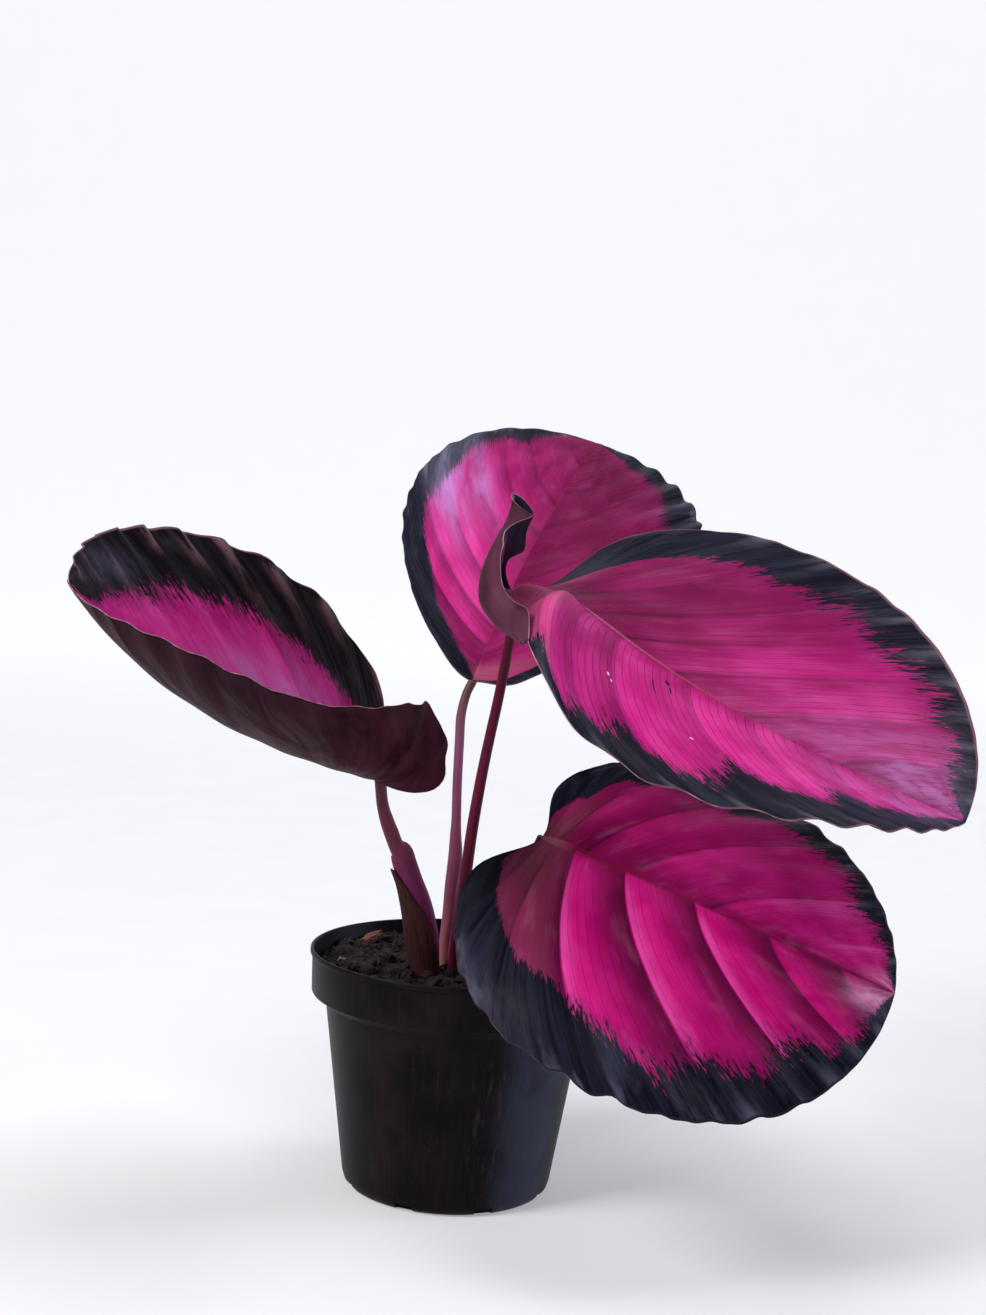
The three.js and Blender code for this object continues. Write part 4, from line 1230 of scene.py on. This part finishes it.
def cut_away(piece, cutters):
    """Take the selected cutters out of a piece, then delete them"""
    for cutter in cutters:
        cut = piece.modifiers.new("cut", "BOOLEAN")
        cut.object = cutter
        cut.solver = "EXACT"
    select_none()
    piece.select_set(True)
    apply_modifiers(piece)
    for cutter in cutters:
        bpy.data.objects.remove(cutter)


# In metres, as the operators take them
hole_ring, hole_radius, hole_depth = 0.023, 0.003, 0.008
foot_ring, notch_size = 0.0365, (0.007, 0.0065, 0.0052)


def on_ring(radius, steps):
    """A place on a ring of the pot's foot, and its angle, eight steps to the turn"""
    around = math.radians(45 * steps)
    return (radius * math.cos(around), radius * math.sin(around), 0), around


holes = []
for number in range(8):
    spot, _ = on_ring(hole_ring, number)
    select_none()
    bpy.ops.mesh.primitive_cylinder_add(
        vertices=32, radius=hole_radius, depth=hole_depth, location=spot
    )
    holes.append(bpy.context.object)
    spot, around = on_ring(foot_ring, number + 0.5)
    select_none()
    bpy.ops.mesh.primitive_cube_add(size=1, location=spot, rotation=(0, 0, around))
    bpy.context.object.scale = notch_size
    holes.append(bpy.context.object)
cut_away(pot, holes)
select_none()
pot.select_set(True)
bpy.context.view_layer.objects.active = pot
bpy.ops.object.shade_smooth_by_angle(angle=math.radians(38))
settle(pot, "pot")

# %% [markdown]
# The pot's plastic is black with a satin sheen, faint upright scuffs and specks of dust. On its right
# front lies a painted bluish highlight; beside that it is a little chafed, and its front left is
# darker red.

# %% Pot plastic
plastic = Finish("pot_black", Specular_IOR_Level=0.06)
pot_place = plastic.where()
px, py, pz = plastic.parts(pot_place)
pot_angle = plastic.math("ARCTAN2", py, px)
scuff = plastic.noise(plastic.point(pot_angle * 40, pz * 0.05), 1, 4, 0.6)
grain = plastic.noise(pot_place, 1.8, 3)
mottle = plastic.noise(pot_place, 0.06, 3)
black = (scuff * 0.5 + mottle * 0.5).rise(0.35, 0.7).blend((0.003, 0.0015, 0.0025), (0.007, 0.005, 0.007))
dust = (grain * scuff).rise(0.36, 0.5)
black = (dust * 0.4).blend(black, (0.07, 0.065, 0.07))
# A painted bluish highlight on the right front, uneven in strength
uneven = 0.55 + mottle.rise(0.35, 0.6) * 0.3 + scuff.rise(0.4, 0.7) * 0.15
painted_blue_sheen = abs(pot_angle + 0.78).rise(0.5, 0.15) * uneven
black = painted_blue_sheen.blend(black, (0.034, 0.036, 0.06))
chafed = plastic.noise(plastic.point(pot_angle * 22, pz * 0.1), 1, 4, 0.6)
chafe = chafed.rise(0.52, 0.68) * abs(pot_angle + 1.2).rise(0.26, 0.08) * abs(pz - 32).rise(32, 16)
black = (chafe * 0.45).blend(black, (0.06, 0.036, 0.038))
# Darker red on the front left
darker_red_patch = abs(pot_angle + 1.9).rise(0.5, 0.1) * mottle.rise(0.4, 0.65)
black = (darker_red_patch * 0.6).blend(black, (0.016, 0.007, 0.009))
paint(pot, plastic.wear(black, 0.36 + scuff * 0.16 + dust * 0.2, grain, 0.15, 0.0003))

# %% [markdown]
# ## Soil
# Peaty potting soil is a lumpy surface with loose crumbs on it. The surface is a grid wrapped into
# a plug: its rows run from the middle out, down the pot's wall and back under. Crumbs are small
# rough balls, modelled once and copied.

# %% Soil surface
random = np.random.default_rng(11)


def lumps(x, y):
    """The soil's height above its level, from a few crossing waves"""
    coarse = np.sin(0.21 * x + 1.3) * np.cos(0.17 * y - 0.6)
    middling = 0.6 * np.sin(0.43 * x - 0.31 * y + 2.1) * np.cos(0.37 * y + 0.23 * x)
    fine = 0.4 * np.sin(0.83 * x + 0.4) * np.sin(0.77 * y + 1.7)
    return 1.3 * (coarse + middling + fine) + 0.02 * y


def crumbled(x, y):
    """Lumps, with smaller ones on them"""
    small = np.sin(1.9 * x + 0.7 * y) * np.sin(2.3 * y - 1.1 * x + 0.5)
    tiny = np.sin(4.1 * x - 2.7 * y + 1.0) * np.sin(3.7 * y + 3.1 * x)
    return lumps(x, y) + 0.35 * small + 0.18 * tiny


soil_edge, soil_level = 49.95, 77.5
top_rows = np.linspace(0, soil_edge, 91)
rest_rows = [(44.9, 65.6), (35.9, 4.8), (33.3, 1.9), (0, 1.9)]
around = np.radians(np.linspace(0, 360, 257))
soil_points = []
for r in top_rows:
    x, y = r * np.cos(around), r * np.sin(around)
    rounded = -1.0 if r > soil_edge - 0.5 else 0
    soil_points.append(np.stack([x, y, soil_level + crumbled(x, y) + rounded], -1))
for r, z in rest_rows:
    soil_points.append(np.stack([r * np.cos(around), r * np.sin(around), z + 0 * around], -1))
soil_points = np.array(soil_points)
soil_points[:, -1] = soil_points[:, 0]
soil_points[0, :, 2] = soil_points[0, 0, 2]
soil, _ = grid_piece("soil_plug", soil_points, soil_points[..., :2])
merge_doubles(soil)
face_outward(soil)
bpy.ops.object.shade_smooth()

# %% Crumbs
crumb_count = 900
crumb_reach = 49.0
select_none()
bpy.ops.mesh.primitive_uv_sphere_add(segments=7, ring_count=5, radius=1)
ball = bpy.context.object
edit_where(ball, lambda face: face.center.z > 0.6, "FACE")
bpy.ops.transform.translate(value=(0.1, 0, -0.25))
bpy.ops.object.mode_set(mode="OBJECT")
crumb_mesh = ball.data


def crumb_at(number):
    """One crumb: a copy of the ball, stretched, turned, roughened and laid on the soil"""
    mesh = crumb_mesh.copy()
    size = 0.5 + 2.3 * random.random() ** 3
    r = crumb_reach * math.sqrt(random.random())
    a = 2 * math.pi * random.random()
    x, y = r * math.cos(a), r * math.sin(a)
    points = np.empty(len(mesh.vertices) * 3)
    mesh.vertices.foreach_get("co", points)
    points = points.reshape(-1, 3) * (1 + 0.9 * (random.random((len(mesh.vertices), 1)) - 0.5))
    points = points * size * (0.7 + 0.6 * random.random(3))
    turn = Matrix.Rotation(6.28 * random.random(), 3, Vector(random.random(3) - 0.5))
    points = points @ np.array(turn).T
    limit = crumb_reach + 0.2 - size * 1.3
    if r > limit:
        x, y = x * limit / r, y * limit / r
    points += (x, y, soil_level + float(crumbled(x, y)) + 0.25 * size)
    mesh.vertices.foreach_set("co", (points / 1000).ravel())
    crumb = bpy.data.objects.new(f"crumb_{number}", mesh)
    bpy.context.scene.collection.objects.link(crumb)
    return crumb


crumbs = [crumb_at(number) for number in range(crumb_count)]
bpy.data.objects.remove(ball)
select_none()
for crumb in crumbs:
    crumb.select_set(True)
soil.select_set(True)
bpy.context.view_layer.objects.active = soil
bpy.ops.object.join()
settle(soil, "soil")

# %% Soil finish
earth = Finish("soil_earth", Specular_IOR_Level=0.25)
soil_place = earth.where()
clod = earth.noise(soil_place, 0.3, 3)
grit = earth.noise(soil_place, 1.5, 4, 0.7)
husk = earth.noise(soil_place, 3.2, 2)
dirt = clod.rise(0.35, 0.65).blend((0.002, 0.0014, 0.002), (0.017, 0.009, 0.012))
dirt = (grit.rise(0.5, 0.75) * 0.7).blend(dirt, (0.036, 0.018, 0.02))
dirt = (husk.rise(0.66, 0.74) * 0.5).blend(dirt, (0.1, 0.05, 0.04))
paint(soil, earth.wear(dirt, 0.8 + grit * 0.15, grit + clod, 0.9, 0.001))

# %% [markdown]
# ## Bark chips
# Two chips of bark lie on the soil. A chip is a short board with broken ends, so a cube is
# subdivided and its corners are pulled out of line.

# %% Bark chips
# Place of the middle, size, turn about X, Y and Z in degrees, and tone
chips = {
    "bark_chip_large": ((-33, 29, 80), (8.5, 4, 2.8), (18, -22, 24), (0.15, 0.05, 0.034)),
    "bark_chip_small": ((-41, -3, 79), (5, 3, 2.2), (-8, 12, 70), (0.14, 0.09, 0.07)),
}


def make_chip(name, centre, size, turn):
    """A cube of the chip's size, split at its ends, bowed, thinned, turned and laid in place"""
    select_none()
    bpy.ops.mesh.primitive_cube_add(size=1)
    piece = bpy.context.object
    piece.name = piece.data.name = name + "_bark"
    edit_where(piece, lambda face: True, "FACE")
    bpy.ops.mesh.subdivide(number_cuts=15)
    bpy.ops.object.mode_set(mode="OBJECT")
    length, width, _ = size
    points = np.empty(len(piece.data.vertices) * 3)
    piece.data.vertices.foreach_get("co", points)
    x, y, z = (points.reshape(-1, 3) * size).T
    split = 0.12 * np.sin(5 * y + 2 * z) + 0.1 * np.sin(11 * y - 3 * z)
    split += 0.15 * np.sin(1.3 * x + 4 * y)
    ragged = 0.12 * length * np.sin(2.3 * y + 1.1 * z) + split
    bowed = 0.1 * width * np.sin(3 * x / length)
    thinned = 1 - 0.7 * np.abs(x / length)
    longer = x + ragged * np.clip(4 * x / length, -1, 1)
    moved = np.stack([longer, (y + bowed) * thinned, (z + 0.3 * split) * thinned])
    rotation = Matrix.Identity(3)
    for angle, axis in zip(turn, "XYZ"):
        rotation = rotation @ Matrix.Rotation(math.radians(angle), 3, axis)
    moved = (np.array(rotation) @ moved).T + centre
    piece.data.vertices.foreach_set("co", (moved / 1000).ravel())
    bpy.ops.object.shade_smooth_by_angle(angle=math.radians(50))
    settle(piece, name)
    return piece


# %% Bark finish


def bark_finish(name, turn, tone):
    finish = Finish(name, Specular_IOR_Level=0.3)
    place = finish.where()
    sockets = {"Vector": place, "Rotation": (0, 0, -math.radians(turn[2]))}
    sockets["Scale"] = (0.25, 1.6, 1.6)
    stretched = finish.node("ShaderNodeMapping", {}, sockets)
    grain = finish.noise(stretched, 1, 4, 0.65)
    spots = finish.noise(place, 1.1, 3)
    dark, dusky = (tuple(share * value for value in tone) for share in (0.25, 0.5))
    colour = grain.rise(0.3, 0.65).blend(dark, tone)
    colour = (spots.rise(0.55, 0.75) * 0.6).blend(colour, dusky)
    return finish.wear(colour, 0.75 + grain * 0.2, grain + spots * 0.5, 0.8, 0.0008)


for name, (centre, size, turn, tone) in chips.items():
    paint(make_chip(name, centre, size, turn), bark_finish(name + "_wood", turn, tone))
